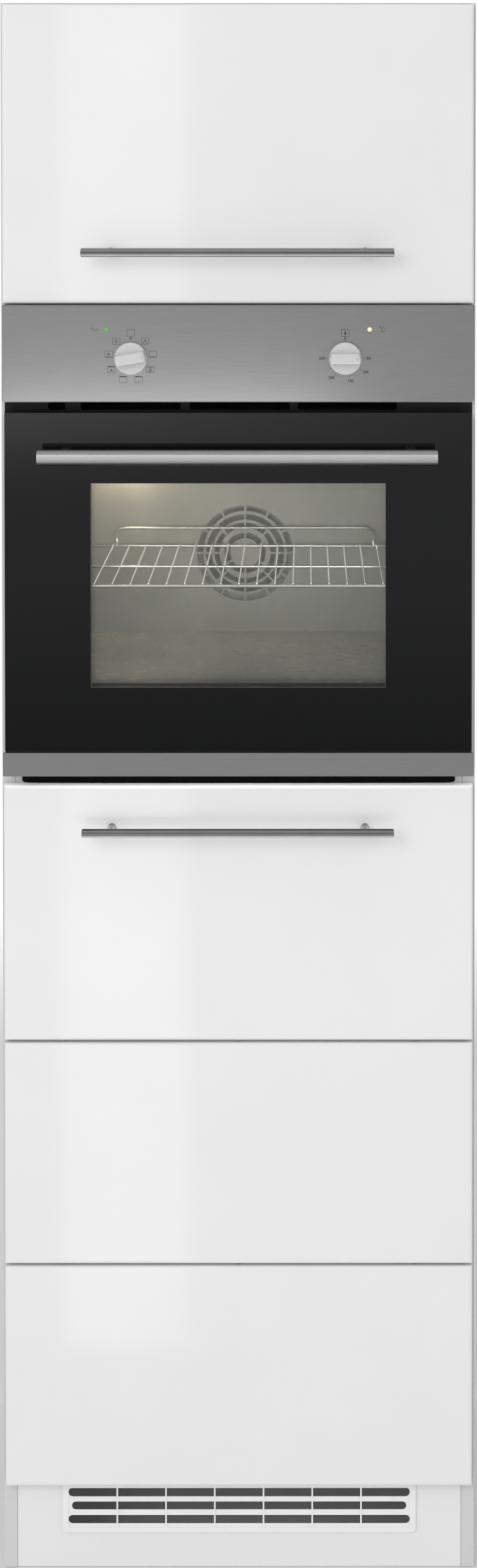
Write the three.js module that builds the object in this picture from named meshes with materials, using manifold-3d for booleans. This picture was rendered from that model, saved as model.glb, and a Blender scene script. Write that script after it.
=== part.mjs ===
// A tall kitchen housing unit: a white cabinet that carries a built-in oven over a tall appliance
// niche, with a lift-up flap above and one door below whose face is divided into three panels.
// Millimetres, +Z up. x runs to the right and f is the distance in front of the cabinet's front
// edges, so f = -y before the whole unit is centred on its depth at the end of the file.
import * as THREE from "three";
import { mergeVertices } from "three/addons/utils/BufferGeometryUtils.js";
import Module from "manifold-3d";

const wasm = await Module();
wasm.setup();

// ---------------------------------------------------------------- driving dimensions

const clearance = 0.3; // left between pieces that touch
const through = 1; // how far a cutting solid runs past the face that it cuts
const reveal = 2; // joint above and below a front

// Cabinet
const width = 600;
const height = 2000;
const depth = 550; // of the side boards
const board = 16;
const plinthHeight = 110;
const plinthSetback = 1.5; // of the plinth's face behind the side boards' edges
const fridgeNiche = 880;
const ovenNiche = 600;
const airDuct = 50; // behind the shelves
const backThickness = 3;
const railHeight = 80;
const railLift = 8; // of the oven's rear rail above its shelf

// Fronts
const frontThickness = 16;
const frontStandoff = 3; // between the cabinet's edges and the back of a front
const frontEase = 4; // rounding of the edges of a front's face
const sideReveal = 3; // of a front inside the unit's outer faces
const flapJoint = 1; // between the flap and the oven's fascia
const lowerPanelHeight = 283;
const panelGap = 3.3;
const ovenDoorRoom = 12.1; // from the lower door's top up to the oven shelf's top
const tieBarWidth = 5;
const tieBarInset = 60; // outer tie bars from the side boards
const tieBarBack = 0.6;
const tieBarFront = 9.5;
const tieBarFoot = 38; // end of a tie bar from the door's foot
const tieBarHead = 39.9; // end of a tie bar from the door's top

// Bar handles
const handleInset = 101; // each end from the edge of its front
const handleRadius = 5.75;
const handleSoftness = 1.5; // rounding of the bar's ends
const handleReach = 54; // f of the bar's centre
const handlePostInset = 36; // from the end of the bar
const handlePostRadius = 4.5;
const flapHandleLift = 65.6; // above the flap's lower edge
const lowerHandleDrop = 53.3; // below the lower door's top

// Cup hinges
const hingeInset = 10; // hinge axis inside the unit's outer faces
const hingeAxisF = 13.7;
const cupRadius = 17.5;
const cupInset = 24.5; // cup's centre inside the unit's outer faces
const cupDepth = 13.2;
const cupLip = 1.1; // of the cup's flange proud of the front's back
const flangeHalf = 13;
const flangeReach = 21; // half of the flange's length
const slotHalf = 7.2; // half of the slot that the arm swings in
const lugHalf = 10.2;
const lugInwards = 10; // from the pin towards the cup's centre
const lugOutwards = 3.7; // from the pin towards the front's edge
const pinRadius = 1.3;
const barrelRadius = 1.5;
const armHalf = 6;
const strapThickness = 2.4;
const armOffset = 17; // of the strap that goes back into the cabinet, from the pin
const armBody = { outwards: 7, inwards: 4, front: -12, back: -72 };
const mountingPlate = { thickness: 2.5, half: 24, front: -31, back: -55 };
const lowestHinge = 100; // above the plinth
const highestHinge = 139.9; // below the lower door's top
const flapHingeInset = 94; // from the side boards

// Plinth grille
const grilleInset = 58; // from the side boards
const grilleBottom = 45.2;
const grilleProud = 1.6; // f of the grille's face
const grilleCorner = 4;
const grilleMargin = 7.8; // outer rows of slots from the grille's ends
const grilleRecess = 1.2; // of the bars between the rows behind the grille's face
const grilleFoot = 6.4; // below the recess
const collarInset = 3;
const collarHeight = 57;
const collarWall = 1.6;
const slotsPerRow = 7;
const dividerWidth = 2;
const slotRows = [
  { drop: 5.3, tall: 11.5, margin: grilleMargin },
  { drop: 23.3, tall: 10.4, margin: grilleMargin + 4.4 },
  { drop: 40.7, tall: 10.9, margin: grilleMargin },
];

// Oven, upwards from the shelf that it stands on
const ovenLift = 0.6; // bottom of the oven's front above the shelf
const stripHeight = 30.5;
const glassHeadroom = 33.6; // top of the door's glass above the cavity's ceiling
const ventGap = 12.7;
const fasciaHeight = 123.1;
const fasciaReveal = 2.5; // from the unit's sides
const fasciaFace = 24;
const fasciaWall = 1.6;
const fasciaReturn = 2; // thickness of the fascia's folded edges
const fasciaCorner = 3;
const metalEase = 1.4; // rounding of the fascia's edges
const glassInset = 3; // of the door's glass from the fascia's ends
const glassThickness = 4;
const glassCorner = 2;
const glassEase = 0.6;
const stripProud = 0.5;
const ovenDoorBack = 3.3;
const ovenAxisF = 11;
const ovenAxisLift = 5; // above the foot of the oven's front
const windowSide = 108.5; // from the edge of the glass
const windowFoot = 82.4;
const windowHead = 89.4; // below the top of the glass
const innerGlassThickness = 4;
const doorFrameInset = 4.5; // from the edge of the glass
const frameSheet = 2;
const frameTopInset = 2;
const hingeZoneHeight = 34.4; // solid foot of the door frame
const hingeZoneFloor = 3.4;
const hingeZoneSide = 42; // each side of the lower pocket
const rimWidth = 4;

// Controls
const controlsLift = 55.7; // above the fascia's lower edge
const knobInset = 162.5; // from the fascia's ends
const knobRadius = 20.5;
const knobReach = 20;
const knobGap = 0.6; // between the fascia and a knob
const skirtHeight = 7;
const gripWidth = 15;
const knobEase = 1.4;
const markRadius = 2.4; // of the dimple that marks the grip's pointing end
const markInset = 5.8; // of the dimple from the knob's edge
const markDepth = 0.7;
const spindleRadius = 3;
const spindleReach = 12; // in front of the fascia
const lightOffset = 30.7; // from the knobs' centres towards the fascia's ends
const lightLift = 36.4; // above the knobs' centres
const lightRadius = 2.6;
const lightStem = 1.9;
const lightHeight = 1.9;
const controlsBack = 2;
const switchHalf = 19;
const thermostatRadius = 18;
const functionTilt = 80; // of the grips, clockwise from upright as seen from the front
const thermostatTilt = 90;

// Oven handle
const ovenHandleInset = 44.5; // each end from the edge of the glass
const ovenHandleHeight = 20;
const ovenHandleDepth = 13;
const ovenHandleCorner = 6;
const ovenHandleEase = 1;
const ovenHandleReach = 68; // f of the bar's centre
const ovenHandleDrop = 52.8; // below the top of the glass
const ovenPostInset = 32; // from the end of the bar
const ovenPostHalf = 7;

// Oven body
const casingGap = 5; // from the side boards
const casingBackGap = 22; // from the rear of the side boards
const casingTopGap = 10;
const casingWall = 1.5;
const insulation = 52;
const cavityLift = 116; // of the cavity's floor above the shelf
const cavityHeight = 312;
const motorRoom = 88; // between the backs of the cavity and the casing
const cavityCorner = 18;
const cavityWall = 2;
const frameThickness = 1.2;
const frameMargin = 1.5; // of the front frame inside the fascia's ends
const frameFoot = 2; // of the front frame above the shelf
const coolingSlotTop = 1.2; // below the fascia
const coolingSlotTall = 10.2;
const coolingSlotCorner = 4;
const coolingSlots = [
  [-241, -219],
  [-200, -73],
  [-62, 65],
  [75, 201],
];
const sealInset = 5;
const sealWidth = 8;
const deflectorInset = 9.3; // from the side boards
const deflectorHeight = 11.4; // at its rounded corners
const deflectorShoulder = 8.4; // at its very ends
const deflectorBow = 1.4;
const deflectorFront = 2.5;
const deflectorCorner = 12;

// Oven hinges
const ovenHingeInset = 22; // from the end of the door frame
const ovenHingeHalf = 3;
const ovenHingePlay = 0.5; // each side of the hinge in its notch
const ovenPinRadius = 3;
const ovenPinHalf = 9;
const ovenHingeNose = 3.6;
const ovenHingeDepth = 90;
const ovenHingeTall = 22; // top of the hinge plate above the shelf
const ovenHingeFoot = 30; // length of its foot
const ovenHingeBase = 6; // bottom of the hinge plate above the shelf
const ovenHingeNeck = 19; // top of the hinge plate where it leaves the oven
const hingePocketDepth = 6.5; // of the door frame's pocket in front of the axis
const hingePocketTop = 27.4; // above the foot of the oven's front

// Inside the cavity
const fanLift = 111; // above the cavity's floor
const fanWellRadius = 70;
const fanWellDepth = 24;
const fanRim = 8; // of the fan inside its well
const fanHubRadius = 9;
const fanBlades = 10;
const bladeThickness = 1.6;
const bladeRoot = 28;
const fanClearance = 3; // behind the fan's back plate
const fanPlate = 1.5;
const fanDepth = 20; // tips of the blades from the back of the well
const coverRim = 5;
const coverThickness = 1.6;
const coverBar = 3.2; // metal left between two slots of the cover
const coverRings = [
  { from: 21, to: 29, count: 6 },
  { from: 36, to: 43, count: 8 },
  { from: 47, to: 55, count: 8 },
  { from: 59, to: 67.5, count: 12 },
];
const motorRadius = 28;
const motorLength = 40;
const motorShaftRadius = 3;
const shaftHole = 1.5; // wider than the shaft by this much
const lampInset = 65; // from the cavity's side
const lampDrop = 50; // below the cavity's ceiling
const lampRadius = 23;
const lampHeight = 12.8;
const elementDrop = 16;
const elementRadius = 3.4;
const elementSide = 50; // from the cavity's sides
const elementBend = 20;
const elementFeet = 22;
const elementFront = 70; // behind the cavity's mouth
const elementBack = 45; // from the cavity's back
const shelfLift = 121.5; // above the cavity's floor
const shelfGap = 6; // each side of the shelf
const shelfFrontGap = 14;
const shelfBackGap = 12;
const frontRail = 2.2;
const railWire = 1.7;
const thinWire = 1;
const thinWireTip = 1.6; // ball at the front end of a thin wire
const weld = 0.3; // depth that a wire sinks into the rail that it is welded to
const wirePitch = 23;
const shelfMiddle = 0.55; // place of the middle rail between the back and front ones
const guardRise = 26;
const guardInset = 39;
const guardBend = 12;
const rackWire = 2.2;
const rackFront = 9; // end of a ledge behind the cavity's mouth
const rackBack = 8; // end of a ledge from the cavity's back
const uprightInset = 45; // of the outer uprights from the mouth end of a ledge
const ledgePitch = 50;
const ledgeLevels = [-1, 0, 1, 2];
const glandInset = 79; // from the casing's side
const glandLift = 158;
const glandRadius = 14;
const glandNeck = 8;
const glandFlange = 5;
const glandLength = 15;

// ---------------------------------------------------------------- worked-out places

const half = width / 2;
const inner = half - board; // half of the clear width between the side boards
const nicheBottom = plinthHeight + board;
const nicheTop = nicheBottom + fridgeNiche;
const ovenFloor = nicheTop + board;
const ovenCeiling = ovenFloor + ovenNiche;
const topUnder = height - board;
const shelfBack = -(depth - airDuct);

const doorBottom = ovenFloor + ovenLift;
const glassBottom = doorBottom + stripHeight;
const cavityBottom = ovenFloor + cavityLift;
const cavityTop = cavityBottom + cavityHeight;
const glassTop = cavityTop + glassHeadroom;
const fasciaBottom = glassTop + ventGap;
const fasciaTop = fasciaBottom + fasciaHeight;
const fasciaHalf = half - fasciaReveal;
const glassHalf = fasciaHalf - glassInset;
const windowHalf = glassHalf - windowSide;
const windowBottom = glassBottom + windowFoot;
const windowTop = glassTop - windowHead;
const doorFrameHalf = glassHalf - doorFrameInset;
const frameFront = fasciaFace - glassThickness - clearance;
const ovenAxisZ = doorBottom + ovenAxisLift;
const knobX = fasciaHalf - knobInset;
const lightX = knobX + lightOffset;
const controlsZ = fasciaBottom + controlsLift;
const controlsFront = fasciaFace - fasciaWall - clearance;
const lightZ = controlsZ + lightLift;

const frontFace = frontStandoff + frontThickness;
const frontHalf = half - sideReveal;
const flapBottom = fasciaTop + flapJoint;
const flapTop = height - reveal;
const handleEnd = frontHalf - handleInset;
const doorFoot = plinthHeight + reveal;
const doorHead = ovenFloor - ovenDoorRoom;

const casingHalf = inner - casingGap;
const casingBack = -(depth - casingBackGap);
const casingBottom = ovenFloor + clearance;
const casingTop = ovenCeiling - casingTopGap;
const cavityHalf = casingHalf - insulation - cavityWall;
const cavityBack = casingBack + motorRoom;
const wellBack = cavityBack - fanWellDepth;
const wellFront = cavityBack + clearance;
const fanZ = cavityBottom + fanLift;
const shelfZ = cavityBottom + shelfLift;
const frameFs = [clearance, clearance + frameThickness];

const grilleHalf = half - board - grilleInset;
const grilleTop = plinthHeight - reveal;

const centringShift = (ovenHandleReach + ovenHandleDepth / 2 - depth) / 2;

// ---------------------------------------------------------------- materials

function finish(color, roughness, metalness) {
  return new THREE.MeshStandardMaterial({ color, roughness, metalness });
}

const whiteBoard = finish(0xf2f2f0, 0.5, 0);
const whiteGloss = finish(0xf6f6f5, 0.12, 0);
const whitePlastic = finish(0xf4f4f2, 0.4, 0);
const greyBoard = finish(0xd9d9d7, 0.7, 0);
const chromed = finish(0xdadada, 0.1, 1);
const brushed = finish(0x9a9a98, 0.35, 1);
const zinc = finish(0x8e8f90, 0.4, 1);
const enamel = finish(0x2a2c2c, 0.35, 0.1);
const blackMetal = finish(0x141414, 0.5, 0.3);
const darkGlass = finish(0x111312, 0.05, 0);
const clearGlass = finish(0x3c4440, 0.05, 0);
const sealRubber = finish(0x1b1b1b, 0.8, 0);
const blackPlastic = finish(0x202020, 0.6, 0);
const silverPlastic = finish(0xc9c9c9, 0.3, 0.8);
const greenLens = finish(0x4f8f4a, 0.3, 0);
const amberLens = finish(0xe8cfa8, 0.3, 0);

// ---------------------------------------------------------------- geometry helpers

// A closed three.js geometry as a solid, turned right side out if its faces point inwards.
function solid(geometry) {
  const loose = geometry.index ? geometry.toNonIndexed() : geometry;
  const bare = new THREE.BufferGeometry();
  bare.setAttribute("position", loose.getAttribute("position"));
  const merged = mergeVertices(bare, 1e-4);
  const index = merged.index.array;
  const outwards = [];
  const inwards = [];
  for (let i = 0; i < index.length; i += 3) {
    const [a, b, c] = [index[i], index[i + 1], index[i + 2]];
    if (a !== b && b !== c && c !== a) {
      outwards.push(a, b, c);
      inwards.push(a, c, b);
    }
  }
  const vertProperties = merged.attributes.position.array;
  const build = (list) =>
    new wasm.Manifold(
      new wasm.Mesh({ numProp: 3, vertProperties, triVerts: new Uint32Array(list) }),
    );
  const made = build(outwards);
  return made.volume() < 0 ? build(inwards) : made;
}

function join(...pieces) {
  return pieces.reduce((sum, piece) => sum.add(piece));
}

function cut(body, ...pieces) {
  return pieces.reduce((rest, piece) => rest.subtract(piece), body);
}

// A range of [low, high] made longer by the same amount at both ends.
function grow([low, high], by) {
  return [low - by, high + by];
}

// A range round a middle.
function about(middle, reach) {
  return [middle - reach, middle + reach];
}

// A block between two values of x, two of f and two of z.
function block([x0, x1], [f0, f1], [z0, z1]) {
  const box = new THREE.BoxGeometry(x1 - x0, f1 - f0, z1 - z0);
  box.translate((x0 + x1) / 2, -(f0 + f1) / 2, (z0 + z1) / 2);
  return solid(box);
}

// A rectangle whose corners are rounded by radii listed from the lower left, anticlockwise.
function rectangle(x0, x1, z0, z1, radii = [0, 0, 0, 0]) {
  const corners = [
    [x0, z0, 1, 1, Math.PI],
    [x1, z0, -1, 1, -Math.PI / 2],
    [x1, z1, -1, -1, 0],
    [x0, z1, 1, -1, Math.PI / 2],
  ];
  // An outline that starts with an arc keeps every corner, so it starts at a rounded one if any.
  const first = Math.max(0, radii.findIndex((r) => r > 0));
  const outline = new THREE.Shape();
  for (let i = 0; i < corners.length; i++) {
    const corner = (first + i) % corners.length;
    const [x, z, towardsX, towardsZ, start] = corners[corner];
    const r = radii[corner];
    if (r > 0) {
      outline.absarc(x + towardsX * r, z + towardsZ * r, r, start, start + Math.PI / 2);
    } else if (i === 0) {
      outline.moveTo(x, z);
    } else {
      outline.lineTo(x, z);
    }
  }
  outline.closePath();
  return outline;
}

function rounded(x0, x1, z0, z1, r) {
  return rectangle(x0, x1, z0, z1, [r, r, r, r]);
}

// A shape drawn in x and z, made solid from one value of f to another, with eased edges.
function plate(shape, [back, front], ease = 0, curveSegments = 2, easeSteps = 2) {
  const made = new THREE.ExtrudeGeometry(shape, {
    depth: front - back - 2 * ease,
    bevelEnabled: ease > 0,
    bevelThickness: ease,
    bevelSize: ease,
    bevelOffset: -ease,
    bevelSegments: easeSteps,
    curveSegments,
  });
  made.translate(0, 0, back + ease);
  made.rotateX(Math.PI / 2);
  return solid(made);
}

// A profile of [radius, f] points turned about a line that runs along f.
function turned(profile, x, z, segments = 24) {
  const points = profile.map(([r, f]) => new THREE.Vector2(r, f));
  const made = new THREE.LatheGeometry(points, segments);
  made.rotateX(Math.PI);
  made.translate(x, 0, z);
  return solid(made);
}

function disc(r, [back, front], x, z, segments = 24) {
  const profile = [[0, back], [r, back], [r, front], [0, front]];
  return turned(profile, x, z, segments);
}

// A round rod between two [x, f, z] points.
function rod(from, to, r, segments = 8) {
  const start = new THREE.Vector3(from[0], -from[1], from[2]);
  const end = new THREE.Vector3(to[0], -to[1], to[2]);
  const along = end.clone().sub(start);
  const made = new THREE.CylinderGeometry(r, r, along.length(), segments);
  const up = new THREE.Vector3(0, 1, 0);
  made.applyQuaternion(new THREE.Quaternion().setFromUnitVectors(up, along.normalize()));
  made.translate(...start.add(end).multiplyScalar(0.5).toArray());
  return solid(made);
}

// A line through given points, which the section of a bent wire follows.
class Route extends THREE.Curve {
  constructor(points) {
    super();
    this.points = points;
  }
  getPoint(t) {
    const place = t * (this.points.length - 1);
    const i = Math.min(Math.floor(place), this.points.length - 2);
    return this.points[i].clone().lerp(this.points[i + 1], place - i);
  }
  getPointAt(t) {
    return this.getPoint(t);
  }
  getTangentAt(t) {
    const last = this.points.length - 1;
    const i = Math.round(t * last);
    const before = this.points[Math.max(i - 1, 0)];
    const here = this.points[i];
    const after = this.points[Math.min(i + 1, last)];
    const into = here.clone().sub(before).normalize();
    const out = after.clone().sub(here).normalize();
    return into.add(out).normalize();
  }
}

// A wire of radius r through [x, f, z] corners, each bent to a radius.
function wire(corners, r, bend, sides = 8, bendSteps = 3) {
  const stops = corners.map(([x, f, z]) => new THREE.Vector3(x, -f, z));
  const points = [stops[0]];
  for (let i = 1; i < stops.length - 1; i++) {
    const back = stops[i - 1].clone().sub(stops[i]).normalize();
    const on = stops[i + 1].clone().sub(stops[i]).normalize();
    const entry = stops[i].clone().addScaledVector(back, bend);
    const exit = stops[i].clone().addScaledVector(on, bend);
    const curve = new THREE.QuadraticBezierCurve3(entry, stops[i], exit);
    points.push(...curve.getPoints(bendSteps));
  }
  points.push(stops[stops.length - 1]);
  const section = new THREE.Shape();
  section.absarc(0, 0, r, 0, 2 * Math.PI);
  const made = new THREE.ExtrudeGeometry(section, {
    steps: points.length - 1,
    extrudePath: new Route(points),
    curveSegments: sides / 2,
  });
  return solid(made);
}

const unit = new THREE.Group();

// Adds a solid to the unit as a named piece.
function piece(name, material, body) {
  const data = body.getMesh();
  const geometry = new THREE.BufferGeometry();
  geometry.setAttribute("position", new THREE.BufferAttribute(data.vertProperties, 3));
  geometry.setIndex(new THREE.BufferAttribute(data.triVerts, 1));
  geometry.computeVertexNormals();
  const mesh = new THREE.Mesh(geometry, material);
  mesh.name = name;
  unit.add(mesh);
  return mesh;
}

const sides = [["left", -1], ["right", 1]];

// ---------------------------------------------------------------- cabinet

const betweenSides = [-inner + clearance, inner - clearance];

for (const [side, sign] of sides) {
  const xs = sign < 0 ? [-half, -inner] : [inner, half];
  piece("side_panel_" + side, whiteBoard, block(xs, [-depth, 0], [0, height]));
}

const boards = [
  ["bottom_panel", plinthHeight],
  ["oven_shelf", nicheTop],
  ["upper_shelf", ovenCeiling],
  ["top_panel", topUnder],
];
for (const [name, z] of boards) {
  piece(name, whiteBoard, block(betweenSides, [shelfBack, 0], [z, z + board]));
}

const backFront = shelfBack - clearance;
piece(
  "back_panel",
  greyBoard,
  block(betweenSides, [backFront - backThickness, backFront], [ovenCeiling, height]),
);

const rails = [
  ["rear_rail_oven", ovenFloor + railLift],
  ["rear_rail_top", topUnder - railHeight],
];
for (const [name, z] of rails) {
  piece(name, greyBoard, block(betweenSides, [-depth, -depth + board], [z, z + railHeight]));
}

const plinthFs = [-plinthSetback - board, -plinthSetback];
const collarHalf = grilleHalf - collarInset;
const collarXs = [-collarHalf, collarHalf];
const collarZs = [grilleTop - collarInset - collarHeight, grilleTop - collarInset];
const plinthBoard = block(betweenSides, plinthFs, [0, plinthHeight - clearance]);
const grilleHole = block(
  grow(collarXs, clearance),
  grow(plinthFs, through),
  grow(collarZs, clearance),
);
piece("plinth_panel", whiteGloss, cut(plinthBoard, grilleHole));

// ---------------------------------------------------------------- vent grille in the plinth

// The slots as solids: the outer end of each row is rounded.
function grilleSlots(fs) {
  const slots = [];
  const pitch = (2 * grilleHalf - grilleMargin * 2) / slotsPerRow;
  for (const { drop, tall, margin } of slotRows) {
    const end = grilleHalf - margin;
    const zs = [grilleTop - drop - tall, grilleTop - drop];
    const round = tall / 2.4;
    for (let i = 0; i < slotsPerRow; i++) {
      const first = i === 0;
      const last = i === slotsPerRow - 1;
      const from = (i - slotsPerRow / 2) * pitch + dividerWidth / 2;
      const to = from + pitch - dividerWidth;
      const left = first ? round : 0;
      const right = last ? round : 0;
      const shape = rectangle(
        first ? -end : from,
        last ? end : to,
        ...zs,
        [left, right, right, left],
      );
      slots.push(plate(shape, fs, 0, 1));
    }
  }
  return slots;
}

// The shallow recesses round the slots: the dividers between them stay at the grille's face.
function grilleRecesses(face) {
  const end = grilleHalf - grilleMargin;
  const zs = [grilleBottom + grilleFoot, grilleTop - slotRows[0].drop];
  const pitch = (2 * end) / slotsPerRow;
  const recesses = [];
  for (let i = 0; i < slotsPerRow; i++) {
    const from = -end + i * pitch + dividerWidth / 2;
    const xs = [i === 0 ? -end : from, i === slotsPerRow - 1 ? end : from + pitch - dividerWidth];
    recesses.push(block(xs, [face - grilleRecess, face + through], zs));
  }
  return recesses;
}

const grilleFs = [-plinthSetback + clearance, grilleProud];
const collar = cut(
  block(collarXs, [plinthFs[0], grilleFs[0] + grilleProud / 2], collarZs),
  block(
    grow(collarXs, -collarWall),
    [plinthFs[0] - through, grilleFs[1]],
    grow(collarZs, -collarWall),
  ),
);
const grillePlate = plate(
  rounded(-grilleHalf, grilleHalf, grilleBottom, grilleTop, grilleCorner),
  grilleFs,
);
piece(
  "vent_grille",
  whitePlastic,
  join(
    cut(
      grillePlate,
      ...grilleSlots(grow(grilleFs, through)),
      ...grilleRecesses(grilleProud),
    ),
    collar,
  ),
);

// ---------------------------------------------------------------- cup hinges

// Both halves of a hinge are drawn at the right side board: u is x measured from the board's
// outer face, and the hinge is centred on z = 0.
const axisU = -hingeInset;
const cupU = -cupInset;
const boardU = -board - clearance;
const cupFloor = frontStandoff + cupDepth - clearance;
const cupMouth = frontStandoff - cupLip;
const lugUs = [axisU - lugInwards, axisU + lugOutwards];
const lugZs = about(0, lugHalf);
const armZs = about(0, armHalf);

// The hole in a front that takes the hinge cup.
function cupBore() {
  const fs = [frontStandoff - through, frontStandoff + cupDepth];
  const lugPocket = block([lugUs[0], lugUs[1] + clearance], fs, grow(lugZs, clearance));
  return disc(cupRadius, fs, cupU, 0, 28).add(lugPocket);
}

function hingeCup() {
  const shell = join(
    disc(cupRadius - clearance, [cupMouth, cupFloor], cupU, 0, 28),
    block(lugUs, [cupMouth, cupFloor], lugZs),
  );
  const flange = block(
    about(cupU, flangeHalf),
    [cupMouth, frontStandoff - clearance],
    about(0, flangeReach),
  );
  const slotTop = hingeAxisF + barrelRadius + clearance / 3;
  const slot = block([-width / 2, 0], [cupMouth - cupDepth, slotTop], about(0, slotHalf));
  const pinHole = rod(
    [axisU, hingeAxisF, -flangeReach],
    [axisU, hingeAxisF, flangeReach],
    pinRadius + clearance,
    12,
  );
  return cut(shell.add(flange), slot, pinHole);
}

function hingeArm() {
  const kneeU = axisU - armOffset;
  const strapFs = about(hingeAxisF, strapThickness / 2);
  const pin = rod(
    [axisU, hingeAxisF, lugZs[0] + clearance],
    [axisU, hingeAxisF, lugZs[1] - clearance],
    pinRadius,
    12,
  );
  const barrel = rod(
    [axisU, hingeAxisF, armZs[0]],
    [axisU, hingeAxisF, armZs[1]],
    barrelRadius,
    12,
  );
  const reach = block([kneeU, axisU], strapFs, armZs);
  const rise = block([kneeU, kneeU + strapThickness], [armBody.front - armHalf, strapFs[1]], armZs);
  const arm = block(
    [kneeU - armBody.inwards, kneeU + armBody.outwards],
    [armBody.back, armBody.front],
    armZs,
  );
  const plateUs = [boardU - mountingPlate.thickness, boardU];
  const plateFs = [mountingPlate.back, mountingPlate.front];
  const base = block([kneeU + armBody.inwards, boardU], grow(plateFs, armHalf), armZs);
  const foot = block(plateUs, plateFs, about(0, mountingPlate.half));
  return join(pin, barrel, reach, rise, arm, base, foot);
}

// Moves a solid that was drawn at the right side board to a hinge of the lower door.
function atDoorHinge(body, z) {
  return body.translate([half, 0, z]);
}

// Turns it to hang from the top board instead, for a hinge of the flap.
function atFlapHinge(body, x) {
  return body.rotate([0, -90, 0]).translate([x, 0, height]);
}

const doorHinges = [
  ["bottom", plinthHeight + lowestHinge],
  ["middle", (plinthHeight + lowestHinge + doorHead - highestHinge) / 2],
  ["top", doorHead - highestHinge],
];
const flapHingeX = inner - flapHingeInset;
const flapHinges = sides.map(([side, sign]) => [side, sign * flapHingeX]);

for (const [place, z] of doorHinges) {
  piece("door_hinge_arm_" + place, zinc, atDoorHinge(hingeArm(), z));
}
for (const [place, x] of flapHinges) {
  piece("flap_hinge_arm_" + place, zinc, atFlapHinge(hingeArm(), x));
}

// ---------------------------------------------------------------- bar handle

// A round bar along x with softened ends, on two posts that rise from a front.
function barHandle(z) {
  const slight = handleSoftness * 0.3;
  const profile = [
    [0, -handleEnd],
    [handleRadius - handleSoftness, -handleEnd],
    [handleRadius - slight, -handleEnd + slight],
    [handleRadius, -handleEnd + handleSoftness],
    [handleRadius, handleEnd - handleSoftness],
    [handleRadius - slight, handleEnd - slight],
    [handleRadius - handleSoftness, handleEnd],
    [0, handleEnd],
  ];
  const points = profile.map(([r, along]) => new THREE.Vector2(r, along));
  const bar = new THREE.LatheGeometry(points, 20);
  bar.rotateZ(-Math.PI / 2);
  bar.translate(0, -handleReach, z);
  const posts = sides.map(([, sign]) =>
    disc(
      handlePostRadius,
      [frontFace + clearance, handleReach],
      sign * (handleEnd - handlePostInset),
      z,
      12,
    ),
  );
  return join(solid(bar), ...posts);
}

// ---------------------------------------------------------------- lift-up flap

// A front between two heights: its face has rounded edges and its back has square ones.
function frontPanel(bottom, top) {
  const outline = rectangle(-frontHalf, frontHalf, bottom, top);
  return join(
    plate(outline, [frontStandoff, frontFace], frontEase, 1, 3),
    plate(outline, [frontStandoff, frontFace - frontThickness / 2]),
  );
}

let flapBody = frontPanel(flapBottom, flapTop);
for (const [place, x] of flapHinges) {
  flapBody = flapBody.subtract(atFlapHinge(cupBore(), x));
  piece("flap_hinge_cup_" + place, zinc, atFlapHinge(hingeCup(), x));
}
piece("flap_front", whiteGloss, flapBody);
piece("flap_handle", chromed, barHandle(flapBottom + flapHandleLift));

// ---------------------------------------------------------------- lower door

const secondPanel = doorFoot + lowerPanelHeight + panelGap;
const thirdPanel = secondPanel + lowerPanelHeight + panelGap;
const lowerPanels = [
  ["lower_front_bottom", doorFoot, secondPanel - panelGap],
  ["lower_front_middle", secondPanel, thirdPanel - panelGap],
  ["lower_front_top", thirdPanel, doorHead],
];
const outerBar = inner - tieBarInset;
const tieBars = [
  ["left", -outerBar],
  ["middle", 0],
  ["right", outerBar],
];
const tieBarZs = [doorFoot + tieBarFoot, doorHead - tieBarHead];

for (const [name, bottom, top] of lowerPanels) {
  let panel = frontPanel(bottom, top);
  for (const [, x] of tieBars) {
    const groove = block(
      about(x, tieBarWidth / 2 + clearance),
      [frontStandoff - through, tieBarFront + clearance],
      grow(tieBarZs, clearance),
    );
    panel = panel.subtract(groove);
  }
  for (const [, z] of doorHinges) {
    if (z > bottom && z < top) {
      panel = panel.subtract(atDoorHinge(cupBore(), z));
    }
  }
  piece(name, whiteGloss, panel);
}
for (const [place, x] of tieBars) {
  const bar = block(about(x, tieBarWidth / 2), [tieBarBack, tieBarFront], tieBarZs);
  piece("panel_tie_bar_" + place, zinc, bar);
}
for (const [place, z] of doorHinges) {
  piece("door_hinge_cup_" + place, zinc, atDoorHinge(hingeCup(), z));
}
piece("lower_handle", chromed, barHandle(doorHead - lowerHandleDrop));

// ---------------------------------------------------------------- oven body

const casingXs = [-casingHalf, casingHalf];
const casingZs = [casingBottom, casingTop];
const casingShell = cut(
  block(casingXs, [casingBack, 0], casingZs),
  block(
    grow(casingXs, -casingWall),
    [casingBack + casingWall, through],
    grow(casingZs, -casingWall),
  ),
);
piece("oven_casing", zinc, casingShell);

// The cavity's outline, made larger all round by a margin.
function cavityOutline(margin, corner = cavityCorner + margin) {
  return rounded(
    ...about(0, cavityHalf + margin),
    cavityBottom - margin,
    cavityTop + margin,
    corner,
  );
}

const shaftHoleRadius = motorShaftRadius + shaftHole;
const cavityOuter = join(
  plate(cavityOutline(cavityWall), [cavityBack - cavityWall, 0]),
  disc(fanWellRadius + cavityWall, [wellBack - cavityWall, cavityBack], 0, fanZ, 32),
);
const cavityInner = join(
  plate(cavityOutline(0), [cavityBack, through]),
  disc(fanWellRadius, [wellBack, cavityBack + through], 0, fanZ, 32),
  disc(shaftHoleRadius, grow([wellBack - cavityWall, wellBack], through), 0, fanZ, 12),
);
piece("oven_cavity", enamel, cut(cavityOuter, cavityInner));

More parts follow.
